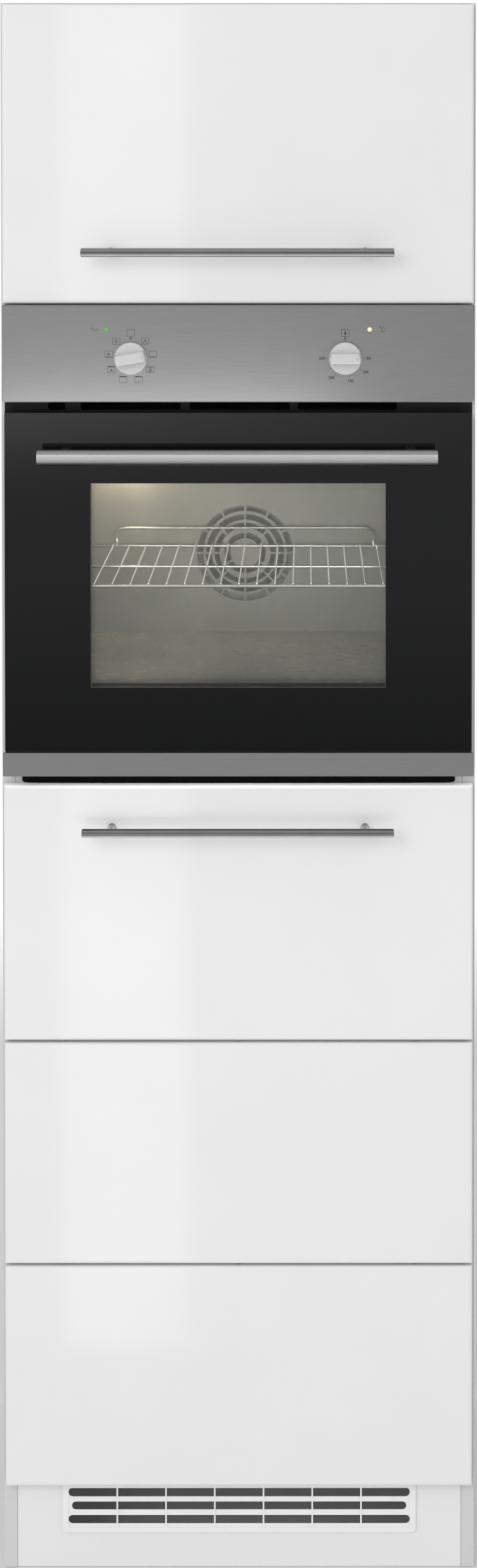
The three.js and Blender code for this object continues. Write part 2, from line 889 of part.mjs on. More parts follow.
// The black front frame round the cavity's mouth, with the cooling slots above the door.
const frameZs = [ovenFloor + frameFoot, fasciaBottom - clearance];
const slotTop = fasciaBottom - coolingSlotTop;
const hingeMiddle = doorFrameHalf - ovenHingeInset;
const hingeNotch = about(0, ovenHingeHalf + 2 * ovenHingePlay + 1);
const notchZs = [ovenFloor + 3.5, ovenFloor + ovenHingeTall + 4];
const frameSlot = (x0, x1) =>
  rounded(x0, x1, slotTop - coolingSlotTall, slotTop, coolingSlotCorner);
const frameCuts = [
  cavityOutline(0),
  ...coolingSlots.map(([x0, x1]) => frameSlot(x0, x1)),
  ...sides.map(([, sign]) =>
    rectangle(...hingeNotch.map((x) => sign * hingeMiddle + x), ...notchZs),
  ),
];
piece(
  "oven_front_frame",
  blackMetal,
  cut(
    plate(rectangle(...about(0, fasciaHalf - frameMargin), ...frameZs), frameFs),
    ...frameCuts.map((shape) => plate(shape, grow(frameFs, through))),
  ),
);

const sealFs = [frameFs[1] + clearance, ovenDoorBack - clearance];
const sealRing = cut(
  plate(cavityOutline(sealInset + sealWidth, cavityCorner + sealWidth), sealFs),
  plate(cavityOutline(sealInset, cavityCorner), grow(sealFs, through)),
);
piece("door_seal", sealRubber, sealRing);

// A lip across the shelf's front edge, bowed downwards, with rounded lower corners.
const deflectorHalf = inner - deflectorInset;
const lipHalf = deflectorHalf - deflectorCorner;
const lipZ = ovenFloor - deflectorHeight;
const deflector = new THREE.Shape();
deflector.moveTo(-deflectorHalf, ovenFloor - clearance);
deflector.lineTo(-deflectorHalf, ovenFloor - deflectorShoulder);
deflector.quadraticCurveTo(-deflectorHalf, lipZ, -lipHalf, lipZ);
deflector.quadraticCurveTo(0, lipZ - deflectorBow, lipHalf, lipZ);
deflector.quadraticCurveTo(deflectorHalf, lipZ, deflectorHalf, ovenFloor - deflectorShoulder);
deflector.lineTo(deflectorHalf, ovenFloor - clearance);
deflector.closePath();
piece("heat_deflector", blackMetal, plate(deflector, [clearance, deflectorFront], 0, 6));

// ---------------------------------------------------------------- control panel

const fasciaHoles = grow([controlsFront, fasciaFace], 10 * through);
const panelShell = cut(
  plate(
    rounded(-fasciaHalf, fasciaHalf, fasciaBottom, fasciaTop, fasciaCorner),
    [clearance, fasciaFace],
    metalEase,
  ),
  block(
    about(0, fasciaHalf - fasciaReturn),
    [-through, fasciaFace - fasciaWall],
    grow([fasciaBottom, fasciaTop], -fasciaReturn),
  ),
  ...sides.map(([, sign]) =>
    disc(spindleRadius + through, fasciaHoles, sign * knobX, controlsZ, 12),
  ),
  ...sides.map(([, sign]) =>
    disc(lightStem + clearance, fasciaHoles, sign * lightX, lightZ, 12),
  ),
);
piece("control_panel", brushed, panelShell);

const controlsFs = [controlsBack, controlsFront];
const spindleEnd = fasciaFace + spindleReach;
const spindle = (x) =>
  disc(spindleRadius, [controlsFront - through, spindleEnd], x, controlsZ, 12);
const switchBody = block(about(-knobX, switchHalf), controlsFs, about(controlsZ, switchHalf));
const thermostatBody = disc(thermostatRadius, controlsFs, knobX, controlsZ, 20);
piece("function_switch", blackPlastic, join(switchBody, spindle(-knobX)));
piece("thermostat", blackPlastic, join(thermostatBody, spindle(knobX)));

const lightBack = fasciaFace - 2 * lightRadius;
const lightProfile = [
  [0, lightBack],
  [lightStem, lightBack],
  [lightStem, fasciaFace + clearance],
  [lightRadius, fasciaFace + clearance],
  [lightRadius * 0.96, fasciaFace + lightHeight * 0.5],
  [lightRadius * 0.6, fasciaFace + lightHeight * 0.9],
  [0, fasciaFace + lightHeight],
];
piece("power_light", greenLens, turned(lightProfile, -lightX, lightZ, 16));
piece("heat_light", amberLens, turned(lightProfile, lightX, lightZ, 16));

// A round knob with a raised grip bar; tilt turns the bar clockwise as seen from the front.
function knob(x, tilt) {
  const back = fasciaFace + knobGap;
  const face = fasciaFace + skirtHeight;
  const top = fasciaFace + knobReach;
  const skirt = [
    [0, back],
    [knobRadius - knobGap, back],
    [knobRadius, back + knobGap],
    [knobRadius, face - knobEase],
    [knobRadius - knobEase, face],
    [0, face],
  ];
  const grip = [
    [0, back + through],
    [knobRadius - 0.6 * knobEase, back + through],
    [knobRadius - 0.9 * knobEase, top - 3 * knobEase],
    [knobRadius - 2.6 * knobEase, top - 0.6 * knobEase],
    [knobRadius - 4 * knobEase, top],
    [0, top],
  ];
  const bar = block(about(0, gripWidth / 2), [back, top + through], about(0, 2 * knobRadius));
  const markFs = [top - markDepth, top + through];
  const mark = disc(markRadius, markFs, 0, knobRadius - markInset, 12);
  const socket = disc(spindleRadius + clearance, [0, spindleEnd + clearance], 0, 0, 12);
  const body = turned(skirt, 0, 0, 32).add(turned(grip, 0, 0, 32).intersect(bar));
  return cut(body, mark, socket)
    .rotate([0, tilt, 0])
    .translate([x, 0, controlsZ]);
}

piece("function_knob", silverPlastic, knob(-knobX, functionTilt));
piece("thermostat_knob", silverPlastic, knob(knobX, thermostatTilt));

// ---------------------------------------------------------------- inside the oven

const coverFs = [wellFront, wellFront + coverThickness];
const topOfRing = Math.PI / 2;
let fanCover = disc(fanWellRadius + coverRim, coverFs, 0, 0, 36);
for (const { from, to, count } of coverRings) {
  const pitch = (2 * Math.PI) / count;
  const bar = coverBar / to;
  for (let i = 0; i < count; i++) {
    const start = topOfRing + i * pitch + bar / 2;
    const end = start + pitch - bar;
    const slot = new THREE.Shape();
    slot.absarc(0, 0, to, start, end, false);
    slot.absarc(0, 0, from, end, start, true);
    slot.closePath();
    fanCover = fanCover.subtract(plate(slot, grow(coverFs, through)));
  }
}
piece("fan_cover", enamel, fanCover.translate([0, 0, fanZ]));

const fanFs = [wellBack + fanClearance, wellBack + fanClearance + fanPlate];
const shaftEnd = wellBack + fanDepth - fanClearance;
const fanRadius = fanWellRadius - fanRim;
let fan = join(
  disc(fanRadius, fanFs, 0, 0, 28),
  disc(fanHubRadius, [fanFs[0], wellBack + fanDepth - through], 0, 0, 16),
);
for (let i = 0; i < fanBlades; i++) {
  const blade = block(
    about(0, bladeThickness / 2),
    [fanFs[1] - fanPlate / 2, wellBack + fanDepth],
    [bladeRoot, fanRadius - through],
  );
  fan = fan.add(blade.rotate([0, (i * 360) / fanBlades, 0]));
}
const shaftBore = disc(
  motorShaftRadius + clearance,
  [fanFs[0] - through, shaftEnd + clearance],
  0,
  0,
  12,
);
piece("fan_wheel", zinc, cut(fan, shaftBore).translate([0, 0, fanZ]));

const motorFront = wellBack - cavityWall - clearance;
piece(
  "fan_motor",
  blackMetal,
  join(
    disc(motorRadius, [motorFront - motorLength, motorFront], 0, fanZ, 20),
    disc(motorShaftRadius, [motorFront - through, shaftEnd], 0, fanZ, 12),
  ),
);

const lampProfile = [
  [0, wellFront],
  [lampRadius, wellFront],
  [lampRadius, wellFront + lampHeight * 0.4],
  [lampRadius * 0.83, wellFront + lampHeight * 0.7],
  [lampRadius * 0.43, wellFront + lampHeight * 0.94],
  [0, wellFront + lampHeight],
];
piece("lamp_lens", clearGlass, turned(lampProfile, lampInset - cavityHalf, cavityTop - lampDrop, 20));

// The heating element is a loop below the ceiling: its two feet are in the cavity's back.
const elementZ = cavityTop - elementDrop;
const elementXs = about(0, cavityHalf - elementSide);
const elementFs = [cavityBack + elementBack, -elementFront];
const elementLoop = [
  [-elementFeet, wellFront, elementZ],
  [-elementFeet, elementFs[0], elementZ],
  [elementXs[0], elementFs[0], elementZ],
  [elementXs[0], elementFs[1], elementZ],
  [elementXs[1], elementFs[1], elementZ],
  [elementXs[1], elementFs[0], elementZ],
  [elementFeet, elementFs[0], elementZ],
  [elementFeet, wellFront, elementZ],
];
piece("grill_element", blackMetal, wire(elementLoop, elementRadius, elementBend, 8, 3));

const ledgeZ = shelfZ - frontRail - clearance - rackWire;
const ledgeFs = [cavityBack + rackBack, -rackFront];
const uprightFs = grow(ledgeFs, -uprightInset);
uprightFs.push((uprightFs[0] + uprightFs[1]) / 2);
for (const [side, sign] of sides) {
  const uprightX = sign * (cavityHalf - clearance - rackWire);
  const ledgeX = sign * (cavityHalf - clearance - 2.4 * rackWire);
  const lowest = ledgeZ + (ledgeLevels[0] - 0.5) * ledgePitch;
  const highest = ledgeZ + (ledgeLevels[ledgeLevels.length - 1] + 0.5) * ledgePitch;
  const uprights = uprightFs.map((f) =>
    rod([uprightX, f, lowest], [uprightX, f, highest], rackWire, 6),
  );
  const ledges = ledgeLevels.map((level) => {
    const z = ledgeZ + level * ledgePitch;
    return rod([ledgeX, ledgeFs[0], z], [ledgeX, ledgeFs[1], z], rackWire, 6);
  });
  piece("side_rack_" + side, chromed, join(...uprights, ...ledges));
}

// The shelf: three rails along x with their tops level, thin wires that lie on them and end in
// small balls at the front, and a guard along its back.
const shelfHalf = cavityHalf - shelfGap;
const shelfBackRail = cavityBack + shelfBackGap;
const shelfRails = [
  shelfBackRail,
  shelfBackRail + shelfMiddle * (-shelfFrontGap - shelfBackRail),
  -shelfFrontGap,
];
const railTop = shelfZ + frontRail;
const railRadii = [railWire, railWire, frontRail];
const shelfParts = shelfRails.map((f, i) => {
  const z = railTop - railRadii[i];
  return rod([-shelfHalf, f, z], [shelfHalf, f, z], railRadii[i], 8);
});
const wiresPerSide = Math.floor((shelfHalf - railWire) / wirePitch);
const thinZ = railTop + thinWire - weld;
for (let i = -wiresPerSide; i <= wiresPerSide; i++) {
  const x = i * wirePitch;
  const from = [x, shelfRails[0] - railWire, thinZ];
  const to = [x, shelfRails[2] + frontRail, thinZ];
  const tip = new THREE.SphereGeometry(thinWireTip, 8, 6);
  tip.translate(x, -to[1], thinZ);
  shelfParts.push(rod(from, to, thinWire, 6), solid(tip));
}
const guardHalf = shelfHalf - guardInset;
const guardFoot = railTop - railWire;
const guardTop = shelfZ + guardRise;
const guardLine = [
  [-guardHalf, shelfBackRail, guardFoot],
  [-guardHalf, shelfBackRail, guardTop],
  [guardHalf, shelfBackRail, guardTop],
  [guardHalf, shelfBackRail, guardFoot],
];
shelfParts.push(wire(guardLine, railWire, guardBend, 8));
piece("wire_shelf", chromed, join(...shelfParts));

const glandFace = casingBack - clearance;
const glandProfile = [
  [0, glandFace],
  [glandRadius, glandFace],
  [glandRadius, glandFace - glandFlange],
  [glandNeck + through, glandFace - glandFlange - through],
  [glandNeck, glandFace - glandLength],
  [0, glandFace - glandLength],
];
piece("mains_gland", blackPlastic, turned(glandProfile, casingHalf - glandInset, ovenFloor + glandLift, 20));

// ---------------------------------------------------------------- oven door

// Turns a solid that was extruded along z, with its outline in y and z, to lie along x.
function lengthwise(made) {
  made.applyMatrix4(
    new THREE.Matrix4().makeBasis(
      new THREE.Vector3(0, 1, 0),
      new THREE.Vector3(0, 0, 1),
      new THREE.Vector3(1, 0, 0),
    ),
  );
  return made;
}

function ovenPin(x, extra) {
  const xs = about(x, ovenPinHalf + extra);
  return rod(
    [xs[0], ovenAxisF, ovenAxisZ],
    [xs[1], ovenAxisF, ovenAxisZ],
    ovenPinRadius + (extra > 0 ? clearance : 0),
    12,
  );
}

const ovenHinges = sides.map(([side, sign]) => [side, sign, sign * hingeMiddle]);
const hingeFoot = casingBottom + casingWall + clearance;
for (const [side, sign, x] of ovenHinges) {
  const outline = new THREE.Shape();
  outline.absarc(-ovenAxisF, ovenAxisZ, ovenHingeNose, -Math.PI / 2, Math.PI / 2, true);
  outline.lineTo(-2, ovenFloor + ovenHingeNeck);
  outline.lineTo(ovenHingeDepth, ovenFloor + ovenHingeTall);
  outline.lineTo(ovenHingeDepth, ovenFloor + ovenHingeBase);
  outline.lineTo(-1, ovenFloor + ovenHingeBase);
  outline.closePath();
  const made = new THREE.ExtrudeGeometry(outline, {
    depth: 2 * ovenHingeHalf,
    bevelEnabled: false,
    curveSegments: 3,
  });
  const leaf = lengthwise(made).translate(x - ovenHingeHalf, 0, 0);
  const footXs = [x - sign * ovenHingeHalf, sign * (casingHalf - casingWall - clearance)];
  const foot = block(
    footXs.sort((a, b) => a - b),
    [-ovenHingeDepth, -ovenHingeDepth + ovenHingeFoot],
    [hingeFoot, ovenFloor + ovenHingeTall],
  );
  piece("oven_hinge_" + side, zinc, join(solid(leaf), ovenPin(x, 0), foot));
}

const glassFs = [fasciaFace - glassThickness, fasciaFace];
piece(
  "outer_glass",
  darkGlass,
  plate(rounded(-glassHalf, glassHalf, glassBottom, glassTop, glassCorner), glassFs, glassEase),
);
piece(
  "bottom_strip",
  brushed,
  plate(
    rounded(-fasciaHalf, fasciaHalf, doorBottom, glassBottom - clearance, glassCorner),
    [glassFs[0], fasciaFace + stripProud],
    glassEase,
  ),
);

const frameXs = about(0, doorFrameHalf);
const pocketFs = [ovenDoorBack + frameSheet, frameFront + through];
const holeFs = [ovenDoorBack - through, frameFront + through];
const frameHead = glassTop - frameTopInset;
const hingeZone = doorBottom + hingeZoneHeight;
const windowXs = about(0, windowHalf);
const windowZs = [windowBottom, windowTop];
const frameBlock = block(
  frameXs,
  [ovenDoorBack, frameFront],
  [doorBottom + clearance, frameHead],
);
const upperPocket = block(grow(frameXs, -frameSheet), pocketFs, [hingeZone, frameHead - frameSheet]);
const lowerPocket = block(
  grow(frameXs, -hingeZoneSide),
  pocketFs,
  [doorBottom + hingeZoneFloor, hingeZone - rimWidth],
);
const windowRim = block(
  grow(windowXs, rimWidth),
  [ovenDoorBack, frameFront],
  grow(windowZs, rimWidth),
);
let doorFrame = cut(frameBlock, upperPocket, lowerPocket).add(windowRim);
doorFrame = cut(doorFrame, block(windowXs, holeFs, windowZs));
for (const [, , x] of ovenHinges) {
  const hingePocket = block(
    about(x, ovenHingeHalf + ovenHingePlay),
    [holeFs[0], ovenAxisF + hingePocketDepth],
    [ovenFloor - rimWidth, doorBottom + hingePocketTop],
  );
  doorFrame = cut(doorFrame, hingePocket, ovenPin(x, ovenHingePlay));
}
piece("door_frame", blackMetal, doorFrame);

const innerGlass = block(
  grow(windowXs, -clearance),
  [ovenDoorBack, ovenDoorBack + innerGlassThickness],
  grow(windowZs, -clearance),
);
piece("inner_glass", clearGlass, innerGlass);

// A flat brushed bar on two posts.
const ovenHandleZ = glassTop - ovenHandleDrop;
const ovenHandleLength = 2 * (glassHalf - ovenHandleInset);
const handleSection = rounded(
  ...about(-ovenHandleReach, ovenHandleDepth / 2),
  ...about(ovenHandleZ, ovenHandleHeight / 2),
  ovenHandleCorner,
);
const barSolid = new THREE.ExtrudeGeometry(handleSection, {
  depth: ovenHandleLength - 2 * ovenHandleEase,
  bevelThickness: ovenHandleEase,
  bevelSize: ovenHandleEase,
  bevelOffset: -ovenHandleEase,
  bevelSegments: 2,
  curveSegments: 2,
});
lengthwise(barSolid).translate(-ovenHandleLength / 2 + ovenHandleEase, 0, 0);
const postX = ovenHandleLength / 2 - ovenPostInset;
const ovenPosts = sides.map(([, sign]) =>
  block(
    about(sign * postX, ovenPostHalf),
    [fasciaFace + clearance, ovenHandleReach],
    about(ovenHandleZ, ovenPostHalf),
  ),
);
piece("oven_handle", brushed, join(solid(barSolid), ...ovenPosts));

// ---------------------------------------------------------------- the whole unit

// Centred on its depth, so the origin is at the middle of its foot.
unit.position.y = centringShift;

export default unit;
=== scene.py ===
# Looks of the tall kitchen housing unit with its built-in oven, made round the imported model.
# Lengths on the unit are millimetres until they reach a mesh: x runs to the right, f is the
# distance in front of the cabinet's front edges, and z is the height above the floor. The sizes
# of lights, the floor and the places in the room around the unit are metres.
import math

import bmesh
import bpy
from mathutils import Matrix, Vector


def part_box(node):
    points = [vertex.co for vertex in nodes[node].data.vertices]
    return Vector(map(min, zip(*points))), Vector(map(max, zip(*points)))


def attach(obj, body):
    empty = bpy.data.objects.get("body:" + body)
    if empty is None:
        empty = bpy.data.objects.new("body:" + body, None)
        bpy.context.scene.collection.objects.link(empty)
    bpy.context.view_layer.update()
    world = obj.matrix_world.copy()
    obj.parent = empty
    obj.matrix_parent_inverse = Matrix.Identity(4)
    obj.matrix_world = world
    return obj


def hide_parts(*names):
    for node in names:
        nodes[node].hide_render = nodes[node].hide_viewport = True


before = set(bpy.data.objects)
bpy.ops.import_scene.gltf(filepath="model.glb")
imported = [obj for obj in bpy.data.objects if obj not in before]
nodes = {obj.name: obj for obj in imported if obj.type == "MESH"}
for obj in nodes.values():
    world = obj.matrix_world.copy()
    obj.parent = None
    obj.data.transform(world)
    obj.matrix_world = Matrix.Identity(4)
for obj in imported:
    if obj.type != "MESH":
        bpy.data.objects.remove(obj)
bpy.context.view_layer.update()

MM = 0.001
FRONT_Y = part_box("side_panel_left")[0].y  # the cabinet's front edges


def at(x, f, z):
    return Vector((x * MM, FRONT_Y - f * MM, z * MM))


def edges_of(node):
    """A node's box as ((x0, x1), (f0, f1), (z0, z1)) in millimetres."""
    low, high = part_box(node)
    return (
        (low.x / MM, high.x / MM),
        ((FRONT_Y - high.y) / MM, (FRONT_Y - low.y) / MM),
        (low.z / MM, high.z / MM),
    )


def middle(span):
    return (span[0] + span[1]) / 2


def add_object(name, data):
    obj = bpy.data.objects.new(name, data)
    bpy.context.scene.collection.objects.link(obj)
    return obj


def add_mesh(name, mesh, look):
    """An object from a bmesh, which is freed."""
    data = bpy.data.meshes.new(name)
    mesh.to_mesh(data)
    mesh.free()
    data.materials.append(look.material)
    return add_object(name, data)


LOWER_FRONTS = ["lower_front_bottom", "lower_front_middle", "lower_front_top"]
GLOSSY_FRONTS = ["flap_front"] + LOWER_FRONTS + ["plinth_panel"]
OVEN_WIRES = ["side_rack_left", "side_rack_right", "wire_shelf"]

# ------------------------------------------------------------------ materials


class Nodes:
    """Short ways to add and link the nodes of a material or of the world."""

    def __init__(self, tree):
        self.tree = tree

    def node(self, kind, **values):
        made = self.tree.nodes.new(kind)
        for key, value in values.items():
            setattr(made, key, value)
        return made

    def feed(self, value, target):
        """Links a socket to a target, or sets the target to a number or a colour."""
        if isinstance(value, bpy.types.NodeSocket):
            self.tree.links.new(value, target)
        elif isinstance(value, tuple):
            target.default_value = (*value, 1.0)
        else:
            target.default_value = value

    def axes(self, source):
        parts = self.node("ShaderNodeSeparateXYZ")
        self.feed(source, parts.inputs["Vector"])
        return parts.outputs["X"], parts.outputs["Y"], parts.outputs["Z"]

    def calculate(self, operation, *values):
        made = self.node("ShaderNodeMath", operation=operation)
        for value, target in zip(values, made.inputs):
            self.feed(value, target)
        return made.outputs[0]

    def span(self, source, low, high, start=0.3, end=0.7):
        """source from start to end, as low to high."""
        made = self.node("ShaderNodeMapRange")
        self.feed(source, made.inputs["Value"])
        for name, value in (
            ("From Min", start),
            ("From Max", end),
            ("To Min", low),
            ("To Max", high),
        ):
            made.inputs[name].default_value = value
        return made.outputs["Result"]

    def blend(self, source, first, second, kind="MIX"):
        """A colour between two, by source. Each may be a colour or a socket."""
        made = self.node("ShaderNodeMix", data_type="RGBA", blend_type=kind)
        self.feed(source, made.inputs["Factor"])
        targets = [socket for socket in made.inputs if socket.type == "RGBA"]
        for value, target in zip((first, second), targets):
            self.feed(value, target)
        return [socket for socket in made.outputs if socket.type == "RGBA"][0]

    def ramp(self, source, levels):
        """Greys over a source that runs from -1 to 1, from (place, level) in rising order."""
        made = self.node("ShaderNodeValToRGB")
        self.feed(self.span(source, 0, 1, -1, 1), made.inputs["Fac"])
        elements = made.color_ramp.elements
        for element, (_, level) in zip(elements, (levels[0], levels[-1])):
            element.color = (level, level, level, 1)
        for place, level in levels[1:-1]:
            elements.new((place + 1) / 2).color = (level, level, level, 1)
        return made.outputs["Color"]


class Look(Nodes):
    """A material on the Principled shader, with its detail in nodes."""

    def __init__(self, name, color, roughness, metallic=0.0, **sockets):
        self.material = bpy.data.materials.new(name)
        self.material.use_nodes = True
        super().__init__(self.material.node_tree)
        self.shader = self.tree.nodes["Principled BSDF"]
        self.set("Base Color", color)
        self.set("Roughness", roughness)
        self.set("Metallic", metallic)
        for socket, value in sockets.items():
            self.set(socket.replace("_", " "), value)

    def set(self, socket, value):
        self.feed(value, self.shader.inputs[socket])

    def place(self, stretch=(1, 1, 1)):
        """Object coordinates in metres, times a stretch."""
        coords = self.node("ShaderNodeTexCoord")
        mapping = self.node("ShaderNodeMapping")
        mapping.inputs["Scale"].default_value = stretch
        self.feed(coords.outputs["Object"], mapping.inputs["Vector"])
        return mapping.outputs["Vector"]

    def noise(self, scale, detail=2.0, stretch=(1, 1, 1)):
        made = self.node("ShaderNodeTexNoise")
        made.inputs["Scale"].default_value = scale
        made.inputs["Detail"].default_value = detail
        self.feed(self.place(stretch), made.inputs["Vector"])
        return made.outputs["Fac"]

    def mottle(self, source, dark, light):
        """The base colour, between a dark and a light one by a noise."""
        self.set("Base Color", self.blend(self.span(source, 0, 1), dark, light))

    def rough(self, source, low, high):
        self.set("Roughness", self.span(source, low, high))

    def bump(self, source, strength, distance):
        made = self.node("ShaderNodeBump")
        made.inputs["Strength"].default_value = strength
        made.inputs["Distance"].default_value = distance * MM
        self.feed(source, made.inputs["Height"])
        self.set("Normal", made.outputs["Normal"])


def grey(level, warmth=0.0):
    return (level * (1 + warmth), level, level * (1 - warmth))


def darker(color, share):
    return tuple(channel * share for channel in color)


def make_lacquer():
    look = Look("white_lacquer", grey(0.83), 0.1, Specular_IOR_Level=0.35)
    look.mottle(look.noise(9, 3), grey(0.82, 0.002), grey(0.835, 0.001))
    look.rough(look.noise(30, 4), 0.085, 0.12)
    look.bump(look.noise(320, 2), 0.06, 0.06)
    return look


def make_melamine(name, level):
    look = Look(name, grey(level), 0.5)
    look.mottle(look.noise(14, 4), grey(level * 0.985, 0.004), grey(level))
    look.rough(look.noise(60, 4), 0.42, 0.58)
    look.bump(look.noise(1400, 3), 0.2, 0.05)
    return look


def make_plastic(name, color, low, high, **sockets):
    look = Look(name, color, (low + high) / 2, **sockets)
    look.mottle(look.noise(40, 3), darker(color, 0.94), color)
    look.rough(look.noise(120, 3), low, high)
    look.bump(look.noise(900, 2), 0.12, 0.04)
    return look


def make_grille_with_painted_shade():
    """White in front, and painted shade inside the sleeve behind the slots: near black from just
    behind the grille's face.
    """
    white_to, painted_shade_from = FRONT_Y + 1.0 * MM, FRONT_Y + 1.6 * MM
    look = Look("grille_plastic_painted_shade", grey(0.88), 0.38)
    _, depth, _ = look.axes(look.place())
    inside = look.span(depth, 0, 1, white_to, painted_shade_from)
    front = look.blend(look.span(look.noise(40, 3), 0, 1), grey(0.85, 0.002), grey(0.88, 0.002))
    # Painted shade: the sleeve behind the slots is coloured near black.
    look.set("Base Color", look.blend(inside, front, grey(0.012)))
    look.rough(look.noise(120, 3), 0.3, 0.45)
    look.bump(look.noise(900, 2), 0.12, 0.04)
    return look


def make_metal(
    name, color, low, high, stretch=(1, 1, 1), scale=60, depth=0.03, metallic=1.0, **sockets
):
    look = Look(name, color, (low + high) / 2, metallic, **sockets)
    streaks = look.noise(scale, 5, stretch)
    look.mottle(streaks, darker(color, 0.9), color)
    look.rough(streaks, low, high)
    look.bump(streaks, 0.15, depth)
    return look


def make_brushed(name, color, low, high, depth, along=0.03, scale=1300):
    """Metal brushed along x."""
    return make_metal(name, color, low, high, (along, 1, 1), scale, depth)


def add_painted_reflection(look, source, levels):
    """Painted reflection and shade: dark and light lines over a metal, by a source that runs from
    -1 to 1.
    """
    streaked = look.shader.inputs["Base Color"].links[0].from_socket
    look.set("Base Color", look.blend(1, streaked, look.ramp(source, levels), "MULTIPLY"))
    return look


def make_bar_chrome_painted_reflection():
    """Polished metal with painted reflection: light and dark lines that run along a round bar, by
    the height of its normal.
    """
    # Levels of the painted reflection, from the bar's underside up to its top.
    below = [(-1, 0.9), (-0.8, 0.75), (-0.6, 1.0), (-0.46, 0.95), (-0.35, 0.5), (-0.21, 0.16)]
    above = [(-0.1, 0.32), (0.05, 0.5), (0.2, 0.68), (0.38, 0.85), (0.6, 0.62), (0.8, 0.45)]
    top = [(0.95, 0.28), (1, 0.28)]
    look = make_metal("polished_bar_painted_reflection", grey(0.80), 0.05, 0.09, scale=30, depth=0.02)
    coords = look.node("ShaderNodeTexCoord")
    _, _, upward = look.axes(coords.outputs["Normal"])
    return add_painted_reflection(look, upward, below + above + top)


def make_brushed_bar_painted_reflection(rows):
    """Brushed metal with painted highlight and shade: lines that run along a flat bar, dark at its
    foot and brightest a little above its middle, from its lowest to its top row.
    """
    below = [(-1, 0.12), (-0.85, 0.09), (-0.72, 0.11), (-0.64, 0.2), (-0.56, 0.31), (-0.49, 0.41)]
    above = [(-0.34, 0.59), (-0.18, 0.8), (0, 0.84), (0.12, 0.92), (0.27, 1.0), (0.58, 1.0)]
    top = [(0.66, 0.82), (0.73, 0.57), (0.81, 0.42), (1, 0.42)]
    look = make_brushed("brushed_bar_painted_reflection", grey(0.98), 0.26, 0.32, 0.004, along=0.02, scale=1500)
    _, _, height = look.axes(look.place())
    row = look.span(height, -1, 1, rows[0] * MM, rows[1] * MM)
    return add_painted_reflection(look, row, below + above + top)


def make_enamel():
    look = Look("speckled_enamel", (0.05, 0.055, 0.052), 0.22)
    speckle = look.node("ShaderNodeTexVoronoi")
    speckle.inputs["Scale"].default_value = 900
    look.feed(look.place(), speckle.inputs["Vector"])
    spots = look.span(speckle.outputs["Distance"], 1, 0, 0.12, 0.24)
    base = look.blend(
        look.span(look.noise(12, 3), 0, 1), (0.113, 0.115, 0.108), (0.143, 0.145, 0.136)
    )
    look.set("Base Color", look.blend(spots, base, (0.42, 0.43, 0.41)))
    look.rough(look.noise(50, 3), 0.18, 0.3)
    look.bump(look.noise(160, 3), 0.12, 0.2)
    return look


BORDER_SIDE = 108.5  # the widths of the door's black border
BORDER_FOOT = 82.4
BORDER_HEAD = 89.4
GLASS_XS, _, GLASS_ZS = edges_of("outer_glass")
WINDOW_HALF = (GLASS_XS[1] - BORDER_SIDE) * MM  # metres, as object coordinates are
WINDOW_FOOT = (GLASS_ZS[0] + BORDER_FOOT) * MM
WINDOW_HEAD = (GLASS_ZS[1] - BORDER_HEAD) * MM


def make_door_glass():
    """Black print behind the glass, round a clear window."""
    edge = 0.4 * MM
    look = Look("door_glass", (0.005, 0.005, 0.005), 0.02, IOR=1.5)
    across, _, height = look.axes(look.place())
    sideways = look.calculate("ABSOLUTE", across)
    within = look.span(sideways, 1, 0, WINDOW_HALF - edge, WINDOW_HALF)
    above_foot = look.span(height, 0, 1, WINDOW_FOOT, WINDOW_FOOT + edge)
    below_head = look.span(height, 1, 0, WINDOW_HEAD - edge, WINDOW_HEAD)
    strip = look.calculate("MULTIPLY", within, above_foot)
    window = look.calculate("MULTIPLY", strip, below_head)
    look.set("Base Color", look.blend(window, (0.0045, 0.0048, 0.005), (0.82, 0.832, 0.80)))
    look.set("Transmission Weight", window)
    look.rough(look.noise(16, 4), 0.012, 0.03)
    return look


def make_inner_glass():
    """Coated glass that veils the cavity a little, with a darker border at its foot and left."""
    foot, side, edge = WINDOW_FOOT + 8.5 * MM, -WINDOW_HALF + 4.5 * MM, 0.3 * MM
    clear = (0.81, 0.81, 0.78)
    look = Look("inner_glass_clear", clear, 0.02, Transmission_Weight=0.86, IOR=1.5)
    across, _, height = look.axes(look.place())
    above = look.span(height, 0, 1, foot - edge, foot)
    inside = look.span(across, 0, 1, side - edge, side)
    both = look.calculate("MINIMUM", above, inside)
    look.set("Base Color", look.blend(both, (0.69, 0.69, 0.68), clear))
    look.rough(look.noise(18, 4), 0.01, 0.03)
    return look


def make_lens(name, color, glow):
    look = Look(name, color, 0.15, Transmission_Weight=0.35, Emission_Strength=glow)
    look.set("Emission Color", color)
    look.rough(look.noise(500, 2), 0.1, 0.25)
    look.bump(look.noise(2500, 1), 0.2, 0.05)
    return look


